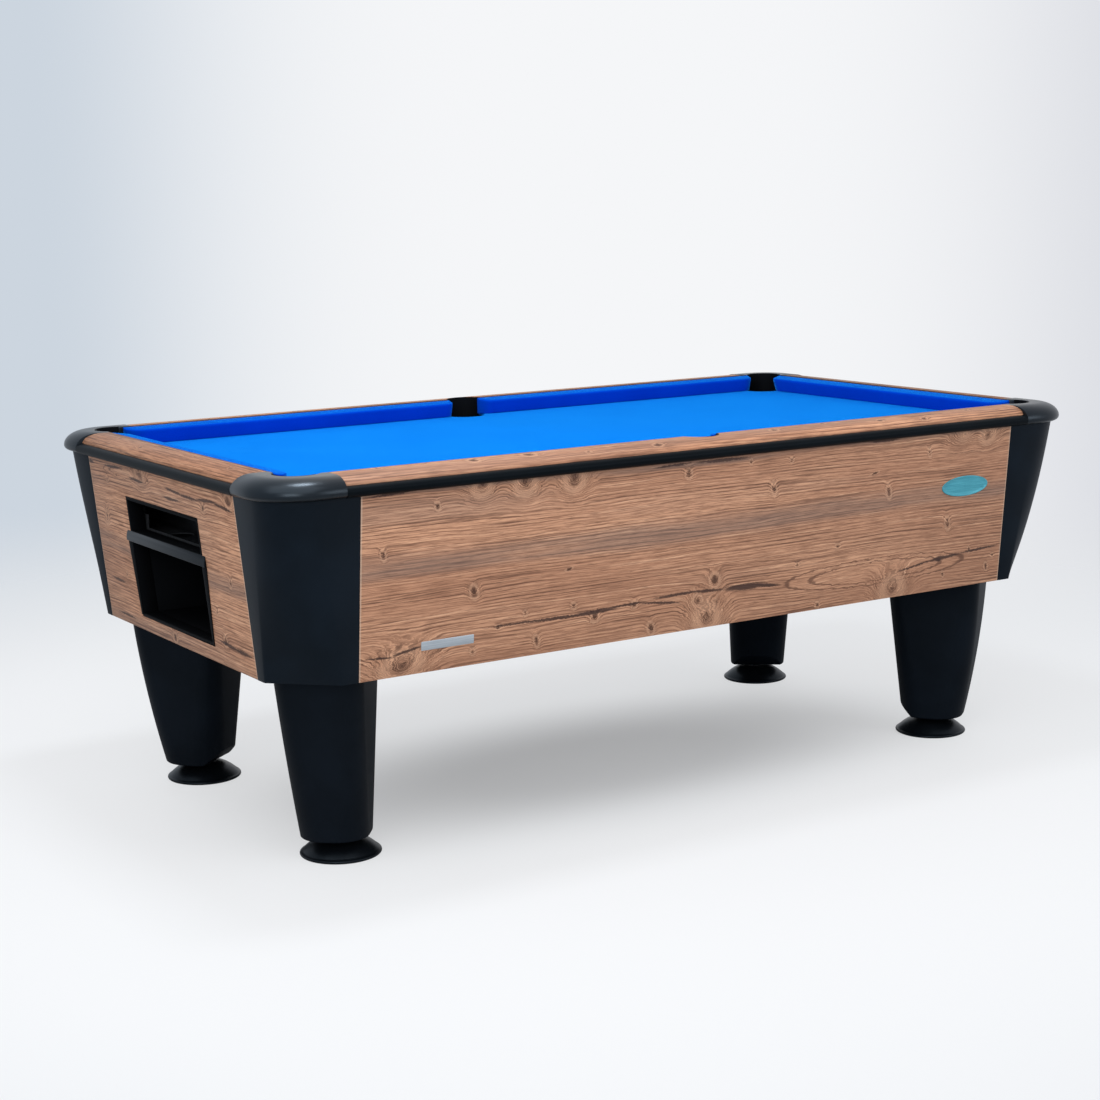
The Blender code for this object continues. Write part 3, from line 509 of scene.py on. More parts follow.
def cloth_finish(name, deep, pale, sheen):
    """Napped blue cloth: a fine cross weave under a short brushed nap."""
    cloth = Finish(
        name, Sheen_Weight=sheen, Sheen_Roughness=0.30, Sheen_Tint=NAP_SHEEN, Specular_IOR_Level=0.0,
    )
    place = cloth.place()
    x, y, z = cloth.split(place)
    turns = 2 * math.pi / WEAVE_PITCH
    weave = cloth.sine((x + z) * turns) * cloth.sine((y + z) * turns)
    nap = cloth.noise(cloth.stretch(place, (1.0, 0.45, 1.0)), 1400.0, 3.0, 0.65)
    cloud = cloth.noise(place, 5.0, 4.0, 0.55)
    fleck = cloth.spread(cloth.noise(place, 260.0, 2.0, 0.5), 0.66, 0.78)
    share = cloth.spread(nap, 0.25, 0.75) * 0.55 + cloth.spread(cloud, 0.3, 0.7) * 0.25
    base = cloth.blend(share, deep, pale)
    base = cloth.blend(fleck * 0.22, base, scaled(deep, 0.35))
    relief = cloth.bump(weave * 0.4 + nap, 0.35, 0.0004)
    return cloth.wear(Base_Color=base, Roughness=0.82 + nap * 0.15, Normal=relief)


def slate_finish(name):
    slate = Finish(name)
    place = slate.place()
    bed = slate.noise(slate.stretch(place, (3.0, 3.0, 60.0)), 2.0, 5.0, 0.6)
    speck = slate.noise(place, 420.0, 3.0, 0.6)
    base = slate.blend(slate.spread(bed, 0.3, 0.7), colour(66, 70, 76), colour(96, 100, 106))
    base = slate.blend(slate.spread(speck, 0.55, 0.8) * 0.4, base, colour(126, 130, 134))
    relief = slate.bump(bed + speck * 0.4, 0.3, 0.0008)
    return slate.wear(Base_Color=base, Roughness=0.62 + speck * 0.25, Normal=relief)


def plywood_finish(name):
    """Birch plywood: pale rotary grain on its faces and thin plies on its edges."""
    ply = Finish(name)
    place = ply.place()
    layer = abs(((ply.split(place)[2] / PLY_PITCH) % 1.0) * 2.0 - 1.0)
    figure = ply.noise(ply.stretch(place, (2.0, 14.0, 14.0)), 1.0, 4.0, 0.6, 1.2)
    fibre = ply.noise(ply.stretch(place, (20.0, 480.0, 480.0)), 1.0, 3.0, 0.6)
    base = ply.blend(ply.spread(figure, 0.3, 0.7), colour(196, 158, 112), colour(221, 188, 144))
    base = ply.blend(fibre * 0.35, base, colour(160, 120, 80))
    upward = abs(ply.split(ply.node("ShaderNodeNewGeometry", output="Normal"))[2])
    edges = ply.spread(layer, 0.45, 0.55) * (1.0 - upward)
    base = ply.blend(edges * 0.45, base, colour(132, 94, 60))
    return ply.wear(Base_Color=base, Roughness=0.60 + fibre * 0.2, Normal=ply.bump(fibre, 0.2, 0.0005))


def zinc_finish(name):
    zinc = Finish(name, Metallic=1.0)
    place = zinc.place()
    spangle = zinc.noise(place, 260.0, 2.0, 0.5)
    fine = zinc.noise(place, 1900.0, 3.0, 0.6)
    base = zinc.blend(zinc.spread(spangle, 0.35, 0.65), colour(168, 172, 178), colour(206, 209, 212))
    return zinc.wear(Base_Color=base, Roughness=0.26 + spangle * 0.14, Normal=zinc.bump(fine, 0.1, 0.0002))


def brushed_finish(name, shade, light, metal, roughness):
    """Thin plate with fine brush lines along its length."""
    plate = Finish(name, Metallic=metal)
    place = plate.place()
    brush = plate.noise(plate.stretch(place, (12.0, 1500.0, 1500.0)), 1.0, 3.0, 0.6)
    cloud = plate.noise(place, 30.0, 3.0, 0.5)
    base = plate.blend(plate.spread(brush, 0.3, 0.7) * 0.6 + cloud * 0.3, shade, light)
    relief = plate.bump(brush, 0.12, 0.0002)
    return plate.wear(Base_Color=base, Roughness=roughness + brush * 0.12, Normal=relief)


# Marks of the oak print, in millimetres along the board and up, and all other parts in thousandths
# Knots: place along, place up, half width, half height, rise of the growth lines, darkness
# Cracks: place along, place up, half length, thickness, slope
# Loops: place along, place up, half length, half height; bands: place up, half height
FRONT_KNOTS = (
    (-599, 788, 44, 44, 70, 950), (-495, 782, 46, 46, 75, 1000), (-375, 780, 46, 46, 75, 1000),
    (-702, 755, 11, 18, 12, 1000), (-824, 667, 10, 22, 14, 1000), (-612, 566, 17, 27, 26, 1000),
    (-380, 587, 16, 5, 4, 1200), (-310, 472, 18, 18, 26, 1000), (-208, 488, 14, 16, 20, 1000),
    (-365, 505, 11, 14, 10, 900), (-486, 504, 9, 12, 8, 900), (-552, 483, 10, 10, 10, 1000),
    (-456, 440, 12, 24, 22, 1000), (-612, 438, 11, 14, 12, 1000), (-778, 430, 82, 56, 105, 1000),
    (-161, 428, 16, 26, 26, 1000), (-38, 475, 26, 25, 36, 900), (-79, 763, 16, 20, 20, 1000),
    (159, 708, 13, 30, 18, 900), (90, 775, 9, 12, 10, 900), (205, 769, 10, 14, 10, 900),
    (452, 715, 22, 5, 4, 1200), (500, 668, 13, 30, 18, 1000), (618, 750, 9, 22, 10, 900),
    (801, 776, 44, 34, 60, 950), (726, 782, 55, 36, 60, 500), (693, 573, 13, 30, 20, 1000),
    (357, 554, 12, 11, 8, 1000), (7, 516, 24, 29, 38, 1000), (-10, 430, 62, 68, 110, 900),
    (240, 523, 10, 11, 8, 1000), (533, 430, 66, 62, 120, 900), (849, 478, 7, 12, 6, 1000),
    (831, 451, 10, 18, 10, 1000), (691, 448, 8, 14, 6, 1000), (770, 500, 8, 14, 6, 1000),
    (307, 421, 11, 14, 10, 1000),
)
FRONT_CRACKS = (
    (-500, 485, 120, 3, 0), (-400, 483, 110, 5, -10), (-310, 484.5, 85, 6.8, 30),
    (-230, 489.5, 70, 4.2, 20), (-140, 483, 80, 4, -110), (-90, 495.5, 100, 4.6, 20),
    (-10, 494, 70, 5, -60), (95, 490.5, 90, 11.5, -20), (150, 486.5, 60, 6, -90),
    (600, 479, 80, 3.8, 150), (690, 489, 75, 5.6, 80), (676, 488, 26, 9.5, 100),
    (800, 497.5, 90, 4.2, 60), (10, 786, 110, 5, -10), (-120, 786, 70, 3.4, 30), (474, 790, 65, 4.6, 0),
    (-830, 454, 50, 3, -50), (-765, 461.5, 50, 4.2, 170), (-810, 790, 70, 3.6, 50),
)
FRONT_LOOPS = ((480, 481, 310, 36),)
FRONT_BANDS = ((640, 36), (790, 12))
BACK_KNOTS = (
    (-760, 560, 14, 22, 22, 1000), (-640, 700, 10, 20, 14, 1000), (-520, 430, 56, 54, 110, 950),
    (-400, 620, 9, 12, 10, 1000), (-250, 782, 38, 38, 70, 1000), (-120, 520, 14, 16, 20, 1000),
    (30, 650, 10, 26, 16, 1000), (140, 428, 60, 56, 115, 950), (280, 740, 9, 14, 10, 1000),
    (420, 560, 18, 20, 26, 1000), (560, 690, 12, 6, 5, 1000), (640, 440, 22, 24, 34, 1000),
    (760, 620, 10, 22, 16, 1000), (820, 780, 36, 36, 66, 1000),
)
BACK_CRACKS = ((-560, 502, 130, 7.2, 20), (200, 486, 150, 9, -15), (600, 520, 90, 5, 50))
BACK_LOOPS = ((-240, 500, 220, 34),)
BACK_BANDS = ((655, 36),)
RETURN_KNOTS = (
    (95, 780, 44, 34, 70, 1000), (-373, 775, 30, 26, 45, 1000), (262, 531, 9, 12, 10, 1000),
    (335, 655, 14, 34, 30, 1000), (-238, 744, 14, 16, 20, 1000), (-239, 525, 9, 12, 10, 1000),
    (-262, 466, 16, 20, 22, 1000), (300, 745, 10, 14, 12, 1000), (-330, 600, 10, 18, 14, 1000),
    (20, 424, 18, 22, 26, 1000),
)
RETURN_CRACKS = (
    (-90, 763, 70, 5, 70), (-170, 759, 70, 5, 20), (-260, 763, 75, 5.6, -50), (-340, 759, 70, 5, 90),
    (-75, 744, 65, 4.4, 0), (250, 780, 80, 4.6, -30), (120, 764, 60, 5, 50), (388, 779, 26, 6, 50),
    (300, 430, 80, 4, 20), (-275, 460, 60, 6, 60), (-345, 456, 60, 6.6, 30), (320, 510, 60, 4, 20),
)
RETURN_LOOPS = ((180, 771, 150, 15),)
RETURN_BANDS = ((600, 30),)
PLAIN_KNOTS = (
    (-280, 720, 14, 22, 22, 1000), (-150, 520, 20, 24, 32, 1000), (20, 650, 10, 18, 14, 1000),
    (160, 430, 56, 54, 110, 950), (260, 700, 12, 16, 18, 1000), (340, 560, 16, 20, 24, 1000),
    (-330, 440, 16, 20, 24, 1000), (50, 784, 40, 36, 70, 1000),
)
PLAIN_CRACKS = ((-60, 505, 120, 7.5, 20), (240, 490, 90, 5, -30))
PLAIN_BANDS = ((610, 32),)
LONG_RAIL_KNOTS = (
    (-811, 304, 18, 18, 22, 1000), (-704, 304, 14, 14, 16, 900), (-600, 283, 24, 24, 32, 1000),
    (-466, 286, 30, 26, 36, 1000), (-330, 262, 14, 12, 14, 900), (-152, 262, 22, 20, 26, 1000),
    (177, 282, 22, 18, 24, 1000), (330, 300, 14, 14, 14, 900), (480, 272, 18, 16, 24, 1000),
    (605, 256, 18, 18, 22, 1000), (760, 286, 16, 14, 16, 1000),
)
LONG_RAIL_CRACKS = ((-250, 306, 120, 3.6, 10), (610, 280, 100, 3.4, -30))
END_RAIL_KNOTS = (
    (-330, -200, 16, 14, 18, 1000), (-120, -185, 14, 12, 16, 1000), (130, -212, 20, 16, 24, 1000),
    (300, -190, 14, 12, 16, 1000),
)
END_RAIL_CRACKS = ((50, -178, 90, 3.6, 10),)


def straight_up(x, y, z):
    return z


def over_long_rail(x, y, z):
    return z - abs(y)


def over_end_rail(x, y, z):
    return z - abs(x)


def make_finishes():
    side_edge = SIDE_PANEL_HALF - EDGE_STRIP
    end_edge = END_PANEL_HALF - EDGE_STRIP
    boards = (
        ("front_oak", "x", 0.0, FRONT_KNOTS, FRONT_CRACKS, FRONT_BANDS, FRONT_LOOPS, side_edge),
        ("back_oak", "x", 3.1, BACK_KNOTS, BACK_CRACKS, BACK_BANDS, BACK_LOOPS, side_edge),
        ("return_oak", "y", 5.7, RETURN_KNOTS, RETURN_CRACKS, RETURN_BANDS, RETURN_LOOPS, end_edge),
        ("plain_oak", "y", 8.3, PLAIN_KNOTS, PLAIN_CRACKS, PLAIN_BANDS, (), end_edge),
    )
    mouldings = (
        ("black_moulding", (7, 13, 20), 0.46, 1300.0, 0.12, 0.13),
        ("black_trim", (6, 8, 11), 0.32, 1500.0, 0.08, 0.18),
        ("black_cap", (6, 8, 11), 0.28, 1500.0, 0.06, 0.38),
        ("black_bead", (5, 8, 11), 0.42, 1500.0, 0.08, 0.07),
        ("black_leg", (7, 11, 17), 0.48, 1100.0, 0.14, 0.10),
        ("black_inside", (5, 5, 6), 0.60, 1200.0, 0.10, 0.05),
        ("painted_board", (34, 35, 37), 0.70, 500.0, 0.10, 0.10),
    )
    made = {
        # Both rail finishes carry a painted shadow line along the rail's inner edge.
        "long_rail_oak": oak_finish(
            "long_rail_oak", "x", over_long_rail, 11.9, LONG_RAIL_KNOTS, LONG_RAIL_CRACKS,
            coarse=1.5, painted_gap_shade=RAIL_IN_Y, tint=(0.98, 0.93, 0.89, 1.0)),
        "end_rail_oak": oak_finish(
            "end_rail_oak", "y", over_end_rail, 14.2, END_RAIL_KNOTS, END_RAIL_CRACKS,
            coarse=1.5, painted_gap_shade=RAIL_IN_X, tint=(0.67, 0.62, 0.58, 1.0)),
        "bed_cloth": cloth_finish("bed_cloth", colour(3, 103, 203), colour(8, 122, 222), 0.6),
        # Painted shade: the cushion cloth is a darker copy of the bed cloth, and the difference stands for
        # the shade on the cushions' undercut faces.
        "cushion_cloth": cloth_finish("cushion_cloth", colour(0, 54, 172), colour(3, 76, 204), 0.9),
        "slate": slate_finish("slate"),
        "plywood": plywood_finish("plywood"),
        "zinc_steel": zinc_finish("zinc_steel"),
        "blank_plate": brushed_finish(
            "blank_plate", colour(150, 160, 170), colour(200, 208, 214), 0.6, 0.34),
        "turquoise_plate": brushed_finish(
            "turquoise_plate", colour(40, 128, 148), colour(92, 184, 200), 0.25, 0.30),
    }
    for name, along, *marks in boards:
        made[name] = oak_finish(name, along, straight_up, *marks)
    for name, shade, *surface in mouldings:
        made[name] = moulded_finish(name, colour(*shade), *surface)
    return made


# Shaping helpers
def along_x(h, p, q):
    return (h, p, q)


def along_y(h, p, q):
    return (p, h, q)


def along_z(h, p, q):
    return (p, q, h)


def half_length(z):
    """Outer half length of the cabinet wall at a height."""
    return LENGTH_AT_BASE / 2 + LEAN * (z - BASE_Z)


def half_width(z):
    return WIDTH_AT_BASE / 2 + LEAN * (z - BASE_Z)


def between(ends, share):
    return ends[0] + (ends[1] - ends[0]) * share


def on_circle(centre, radius, a):
    return (centre[0] + radius * math.cos(a), centre[1] + radius * math.sin(a))


def arc(centre, radius_p, radius_q, start, end, steps):
    """Points of an elliptical arc, angles in degrees."""
    points = []
    for i in range(steps + 1):
        a = math.radians(start + (end - start) * i / steps)
        points.append((centre[0] + radius_p * math.cos(a), centre[1] + radius_q * math.sin(a)))
    return points


def eased(points, setbacks, steps=4, closed=True):
    """Outline with its corners eased: each is cut back and bridged by a short curve."""
    count = len(points)
    result = []
    for i, point in enumerate(points):
        setback = setbacks[i] if isinstance(setbacks, (list, tuple)) else setbacks
        here = Vector(point)
        if setback == 0.0 or (not closed and i in (0, count - 1)):
            result.append(here)
            continue
        before = Vector(points[i - 1]) - here
        after = Vector(points[(i + 1) % count]) - here
        start = here + before.normalized() * min(setback, before.length * 0.48)
        end = here + after.normalized() * min(setback, after.length * 0.48)
        for k in range(steps + 1):
            u = k / steps
            result.append(start * (1 - u) ** 2 + here * (2 * u * (1 - u)) + end * u ** 2)
    return result


def mirrored(outline, sign):
    return [(sign * p, q) for p, q in outline]


def loft(rings, round_trip=False):
    """Closed body through rings of equal point count: capped, or joined end to end."""
    bm = bmesh.new()
    loops = [[bm.verts.new(point) for point in ring] for ring in rings]
    count = len(loops[0])
    pairs = list(zip(loops, loops[1:]))
    if round_trip:
        pairs.append((loops[-1], loops[0]))
    for low, high in pairs:
        for i in range(count):
            j = (i + 1) % count
            bm.faces.new((low[i], low[j], high[j], high[i]))
    if not round_trip:
        bm.faces.new(loops[0])
        bm.faces.new(loops[-1])
    return bm


def prism(outline, place, low, high):
    return loft([[place(h, p, q) for p, q in outline] for h in (low, high)])


def box(low, high):
    (x0, y0, z0), (x1, y1, z1) = low, high
    return prism([(x0, y0), (x1, y0), (x1, y1), (x0, y1)], along_z, z0, z1)


def lathe(profile, steps, centre):
    """Turned body from (radius, z) points that start and end on the axis."""
    bm = bmesh.new()
    rings = []
    for radius, z in profile:
        turns = [2 * math.pi * i / steps for i in range(steps)] if radius else [0.0]
        rings.append([bm.verts.new((*on_circle(centre, radius, a), z)) for a in turns])
    for low, high in zip(rings, rings[1:]):
        for i in range(steps):
            j = (i + 1) % steps
            corners = [low[i % len(low)], low[j % len(low)], high[j % len(high)], high[i % len(high)]]
            bm.faces.new(list(dict.fromkeys(corners)))
    return bm


def drum(radius, low, high, centre, steps):
    return lathe([(0.0, low), (radius, low), (radius, high), (0.0, high)], steps, centre)


def soften(bm, width, segments=2, angle=40.0):
    """Small round on every edge that is sharper than the angle."""
    bmesh.ops.recalc_face_normals(bm, faces=bm.faces)
    limit = math.radians(angle)
    sharp = [e for e in bm.edges if len(e.link_faces) == 2 and e.calc_face_angle(0.0) > limit]
    bmesh.ops.bevel(
        bm, geom=sharp, offset=width, offset_type="OFFSET", segments=segments, profile=0.5,
        affect="EDGES", clamp_overlap=True,
    )
    return bm


def as_object(bm, name):
    mesh = bpy.data.meshes.new(name)
    bm.to_mesh(mesh)
    bm.free()
    return link(bpy.data.objects.new(name, mesh))


def carve(bm, tool, operation="DIFFERENCE"):
    """Cuts one closed body out of another, or joins them, and gives the result."""
    bodies = []
    for source in (bm, tool):
        bmesh.ops.recalc_face_normals(source, faces=source.faces)
        bodies.append(as_object(source, "shaping"))
    step = bodies[0].modifiers.new("cut", "BOOLEAN")
    step.operation = operation
    step.solver = "EXACT"
    step.object = bodies[1]
    result = bmesh.new()
    result.from_object(bodies[0], bpy.context.evaluated_depsgraph_get())
    for body in bodies:
        mesh = body.data
        bpy.data.objects.remove(body, do_unlink=True)
        bpy.data.meshes.remove(mesh)
    bmesh.ops.remove_doubles(result, verts=result.verts, dist=1e-6)
    bmesh.ops.dissolve_limit(result, angle_limit=math.radians(0.2), verts=result.verts, edges=result.edges)
    return result


def piece(bm, name, finish, stands_for=(), body="table", crisp=38.0):
    bmesh.ops.recalc_face_normals(bm, faces=bm.faces)
    made = as_object(bm, name)
    made.data.materials.append(FINISHES[finish])
    made.data.shade_smooth()
    made.data.set_sharp_from_angle(angle=math.radians(crisp))
    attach(made, body)
    if stands_for:
        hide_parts(*stands_for)
    return made


# Cabinet
def wall_outline(outer):
    return [
        (outer(BASE_Z), BASE_Z),
        (outer(BED_Z), BED_Z),
        (outer(BED_Z) - WALL_RUN, BED_Z),
        (outer(BASE_Z) - WALL_RUN, BASE_Z),
    ]


def make_panels():
    for name, sy in SIDES.items():
        outline = mirrored(wall_outline(half_width), sy)
        bm = prism(outline, along_x, -SIDE_PANEL_HALF, SIDE_PANEL_HALF)
        soften(bm, width=0.0010)
        piece(bm, name + "_side_board", name + "_oak", ["side_panel_" + name])
    for name, sx in ENDS.items():
        outline = mirrored(wall_outline(half_length), sx)
        bm = prism(outline, along_y, -END_PANEL_HALF, END_PANEL_HALF)
        if name == "return":
            half = RETURN_WIDTH / 2 + GAP
            reach = half_length(BED_Z)
            low = (-reach - WALL_RUN, -half, RETURN_BOTTOM_Z - GAP)
            high = (-reach + 4 * WALL_RUN, half, RETURN_TOP_Z + GAP)
            bm = carve(bm, box(low, high))
        soften(bm, width=0.0010)
        piece(bm, name + "_end_board", name + "_oak", ["end_panel_" + name])


def corner_curve(reach_a, reach_b, flatten, steps):
    """Curve across a corner from (0, reach_b) to (reach_a, 0): round at 0, straight at 1."""
    start = Vector((0.0, reach_b))
    end = Vector((reach_a, 0.0))
    middle = (start + end) * (0.5 * flatten)
    points = []
    for i in range(steps + 1):
        u = i / steps
        weights = ((1 - u) ** 2, math.sqrt(2.0) * u * (1 - u), u * u)
        points.append((start * weights[0] + middle * weights[1] + end * weights[2]) / sum(weights))
    return points


def offset_path(path, distance):
    """Open path moved to its left by a constant distance."""
    normals = []
    for here, there in zip(path, path[1:]):
        run = (there - here).normalized()
        normals.append(Vector((-run.y, run.x)))
    moved = [path[0] + normals[0] * distance]
    for point, before, after in zip(path[1:-1], normals, normals[1:]):
        bisector = (before + after).normalized()
        moved.append(point + bisector * (distance / bisector.dot(before)))
    moved.append(path[-1] + normals[-1] * distance)
    return moved


def post_path(z):
    """Outer path of a corner post at a height, measured in from the end and the side wall."""
    fall = (BED_Z - z) / CABINET_DEPTH
    top_reach = CAP_RADIUS - RAIL_OVERHANG
    reach_a = between((top_reach, CHAMFER_ALONG_SIDE), fall)
    reach_b = between((top_reach, CHAMFER_ALONG_END), fall)
    run_a = half_length(z) - SIDE_PANEL_HALF - GAP
    run_b = half_width(z) - END_PANEL_HALF - GAP
    curve = corner_curve(reach_a, reach_b, fall ** POST_SWEEP, 14)
    path = [Vector((0.0, run_b)), *curve, Vector((run_a, 0.0))]
    setbacks = [0.0] * len(path)
    setbacks[1] = POST_CREASE
    setbacks[-2] = POST_CREASE
    return eased(path, setbacks, closed=False)


def make_posts():
    levels = 24
    for name, (sx, sy) in CORNERS.items():
        rings = []
        for level in range(levels + 1):
            z = BASE_Z + CABINET_DEPTH * level / levels
            outer = post_path(z)
            ring = outer + offset_path(outer, POST_WALL)[::-1]
            rings.append([(sx * (half_length(z) - p.x), sy * (half_width(z) - p.y), z) for p in ring])
        bm = soften(loft(rings), width=0.0011, angle=60.0)
        piece(bm, "post_moulding_" + name, "black_moulding", ["corner_post_" + name])


# Top frame
def rail_outline(outer):
    inner = outer - RAIL_WIDTH
    centre = (outer - RAIL_ROUND_WIDTH, RAIL_TOP_Z - RAIL_ROUND)
    rounding = arc(centre, RAIL_ROUND_WIDTH, RAIL_ROUND, 90, 0, 24)
    inner_edge = [(inner, RAIL_BOTTOM_Z), (inner, RAIL_TOP_Z), rounding[0]]
    lip = eased(inner_edge, [0.0, RAIL_INNER_EDGE, 0.0], 3, closed=False)
    return [tuple(p) for p in lip[:-1]] + rounding + [(outer, RAIL_BOTTOM_Z)]


def bumper_outline(outer):
    """Bead section: a full round that is a little flatter along its middle."""
    back = outer + GAP
    points = []
    for i in range(21):
        a = math.radians(90.0 - 180.0 * i / 20)
        proud = BUMPER_PROUD * max(math.cos(a), 0.0) ** BUMPER_FULLNESS
        points.append((back + proud, BUMPER_MID_Z + BUMPER_HEIGHT / 2 * math.sin(a)))
    return points


def make_rails():
    lengths = {"front": ("y", -1), "back": ("y", 1), "return": ("x", -1), "plain": ("x", 1)}
    for name, (axis, sign) in lengths.items():
        outer = RAIL_OUT_Y if axis == "y" else RAIL_OUT_X
        end = RAIL_END_X if axis == "y" else RAIL_END_Y
        place = along_x if axis == "y" else along_y
        bm = prism(mirrored(rail_outline(outer), sign), place, -end, end)
        soften(bm, width=0.0007, angle=60.0)
        if axis == "y":
            bm = carve(bm, mouth_tool((0.0, sign * MIDDLE_POCKET_Y), RAIL_MOUTH_LIP))
        finish = "long_rail_oak" if axis == "y" else "end_rail_oak"
        piece(bm, name + "_top_rail", finish, ["rail_" + name])
        bm = prism(mirrored(bumper_outline(outer), sign), place, -end, end)
        piece(bm, name + "_bumper_bead", "black_bead", ["edge_bumper_" + name])


def mouth_tool(centre, lip):
    """Drum for a pocket mouth, flared at the top so that the rim it leaves is rounded."""
    radius = LINER_OUTSIDE + GAP
    profile = [(0.0, BED_Z - RAIL_HEIGHT), (radius, BED_Z - RAIL_HEIGHT)]
    for i in range(9):
        a = math.radians(90.0 * i / 8)
        profile.append((radius + lip * (1 - math.cos(a)), RAIL_TOP_Z - lip + lip * math.sin(a)))
    profile += [(radius + lip, RAIL_TOP_Z + lip), (0.0, RAIL_TOP_Z + lip)]
    return lathe(profile, 96, centre)


def cap_section():
    """Corner cap section as (distance in from the rail's outer face, height)."""
    rise = RAIL_TOP_Z - BUMPER_MID_Z
    dome = arc((CAP_FLAT, BUMPER_MID_Z), CAP_FLAT + BUMPER_PROUD, rise, 90, 180, 18)
    under = arc((0.0, BUMPER_MID_Z), BUMPER_PROUD, BUMPER_HEIGHT / 2, 180, 270, 9)
    inner = [(RAIL_WIDTH, RAIL_BOTTOM_Z), (RAIL_WIDTH, RAIL_TOP_Z)]
    return [*inner, *dome, *under[1:], (0.0, RAIL_BOTTOM_Z)]


def make_caps():
    section = cap_section()
    centre = (RAIL_OUT_X - CAP_RADIUS, RAIL_OUT_Y - CAP_RADIUS)
    stations = [((RAIL_END_X + GAP, RAIL_OUT_Y), math.radians(90.0))]
    for i in range(25):
        a = math.radians(90.0 - 90.0 * i / 24)
        stations.append((on_circle(centre, CAP_RADIUS, a), a))
    stations.append(((RAIL_OUT_X, RAIL_END_Y + GAP), 0.0))
    for name, (sx, sy) in CORNERS.items():
        rings = []
        for place, a in stations:
            inward = [(on_circle(place, -d, a), z) for d, z in section]
            rings.append([(sx * px, sy * py, z) for (px, py), z in inward])
        bm = soften(loft(rings), width=0.0008, angle=60.0)
        bm = carve(bm, mouth_tool((sx * POCKET_X, sy * POCKET_Y), CAP_MOUTH_LIP))
        piece(bm, "cap_moulding_" + name, "black_cap", ["corner_cap_" + name])


def cushion_section(share):
    """Cushion section as (depth in from the rail, height over the bed) at a share of full depth."""
    depth = CUSHION_WIDTH * share
    foot = (CUSHION_WIDTH - CUSHION_UNDERCUT) * share
    half = NOSE_THICKNESS / 2
    corners = [
        (0.0, GAP),
        (foot, GAP),
        (depth, NOSE_HEIGHT - half),
        (depth, NOSE_HEIGHT + half),
        (0.0, CUSHION_BACK_HEIGHT),
    ]
    return eased(corners, [setback * max(share, 0.3) for setback in CUSHION_EASING])


def cushion_stations(start, end, start_jaw, end_jaw):
    """Positions along a cushion with the share of its depth there, rounded off into each pocket."""
    steps = 14
    straights = 12
    turns = [JAW_SWEEP * i / steps for i in range(steps + 1)]
    sweep = math.sin(JAW_SWEEP)
    stations = [(start + start_jaw * (sweep - math.sin(a)), math.cos(a)) for a in turns[::-1]]
    ends = (stations[-1][0], end - end_jaw * sweep)
    stations += [(between(ends, i / straights), 1.0) for i in range(1, straights)]
    stations += [(end - end_jaw * (sweep - math.sin(a)), math.cos(a)) for a in turns]
    return stations


def finish_cushion(rings, name):
    made = piece(
        loft(rings), "covered_cushion_" + name, "cushion_cloth", ["cushion_" + name])


def make_cushions():
    corner_x = POCKET_X - CORNER_JAW_REACH
    corner_y = POCKET_Y - CORNER_JAW_REACH
    back_x = RAIL_IN_X - GAP
    back_y = RAIL_IN_Y - GAP
    halves = {
        "return": (-corner_x, -MIDDLE_GAP / 2, CORNER_JAW, MIDDLE_JAW),
        "plain": (MIDDLE_GAP / 2, corner_x, MIDDLE_JAW, CORNER_JAW),
    }
    for side, sy in SIDES.items():
        for half, ends in halves.items():
            rings = []
            for x, share in cushion_stations(*ends):
                rings.append([(x, sy * (back_y - d), BED_Z + h) for d, h in cushion_section(share)])
            finish_cushion(rings, "%s_%s" % (side, half))
    for end, sx in ENDS.items():
        rings = []
        for y, share in cushion_stations(-corner_y, corner_y, CORNER_JAW, CORNER_JAW):
            rings.append([(sx * (back_x - d), y, BED_Z + h) for d, h in cushion_section(share)])
        finish_cushion(rings, end + "_end")


# Bed and pockets
def cloth_half(outer):
    """Half size of the bed cloth along one axis."""
    return outer(SLATE_LOW_Z) - WALL_RUN - SLATE_CLEARANCE - CLOTH_MARGIN


def pocket_places():
    """Each pocket's name, centre, outward direction in degrees and how far its slot runs out."""
    places = {}
    for name, (sx, sy) in CORNERS.items():
        outward = math.degrees(math.atan2(sy, sx))
        places[name] = ((sx * POCKET_X, sy * POCKET_Y), outward, -CLOTH_MARGIN / math.sqrt(2))
    reach = cloth_half(half_width) - MIDDLE_POCKET_Y
    for name, sy in SIDES.items():
        places[name + "_middle"] = ((0.0, sy * MIDDLE_POCKET_Y), 90.0 * sy, reach)
    return places


def slot_path(centre, outward, radius, reach):
    """U shaped line round a pocket, from one side to the other, with its round end inward."""
    points = []
    lean = math.degrees(math.asin(max(-reach, 0.0) / radius))
    if reach > 0.0:
        points.append((reach, radius))
    points += arc((0.0, 0.0), radius, radius, 90 + lean, 270 - lean, 40)
    if reach > 0.0:
        points.append((reach, -radius))
    a = math.radians(outward)
    turned = []
    for p, q in points:
        x = centre[0] + p * math.cos(a) - q * math.sin(a)
        y = centre[1] + p * math.sin(a) + q * math.cos(a)
        turned.append((x, y))
    return turned


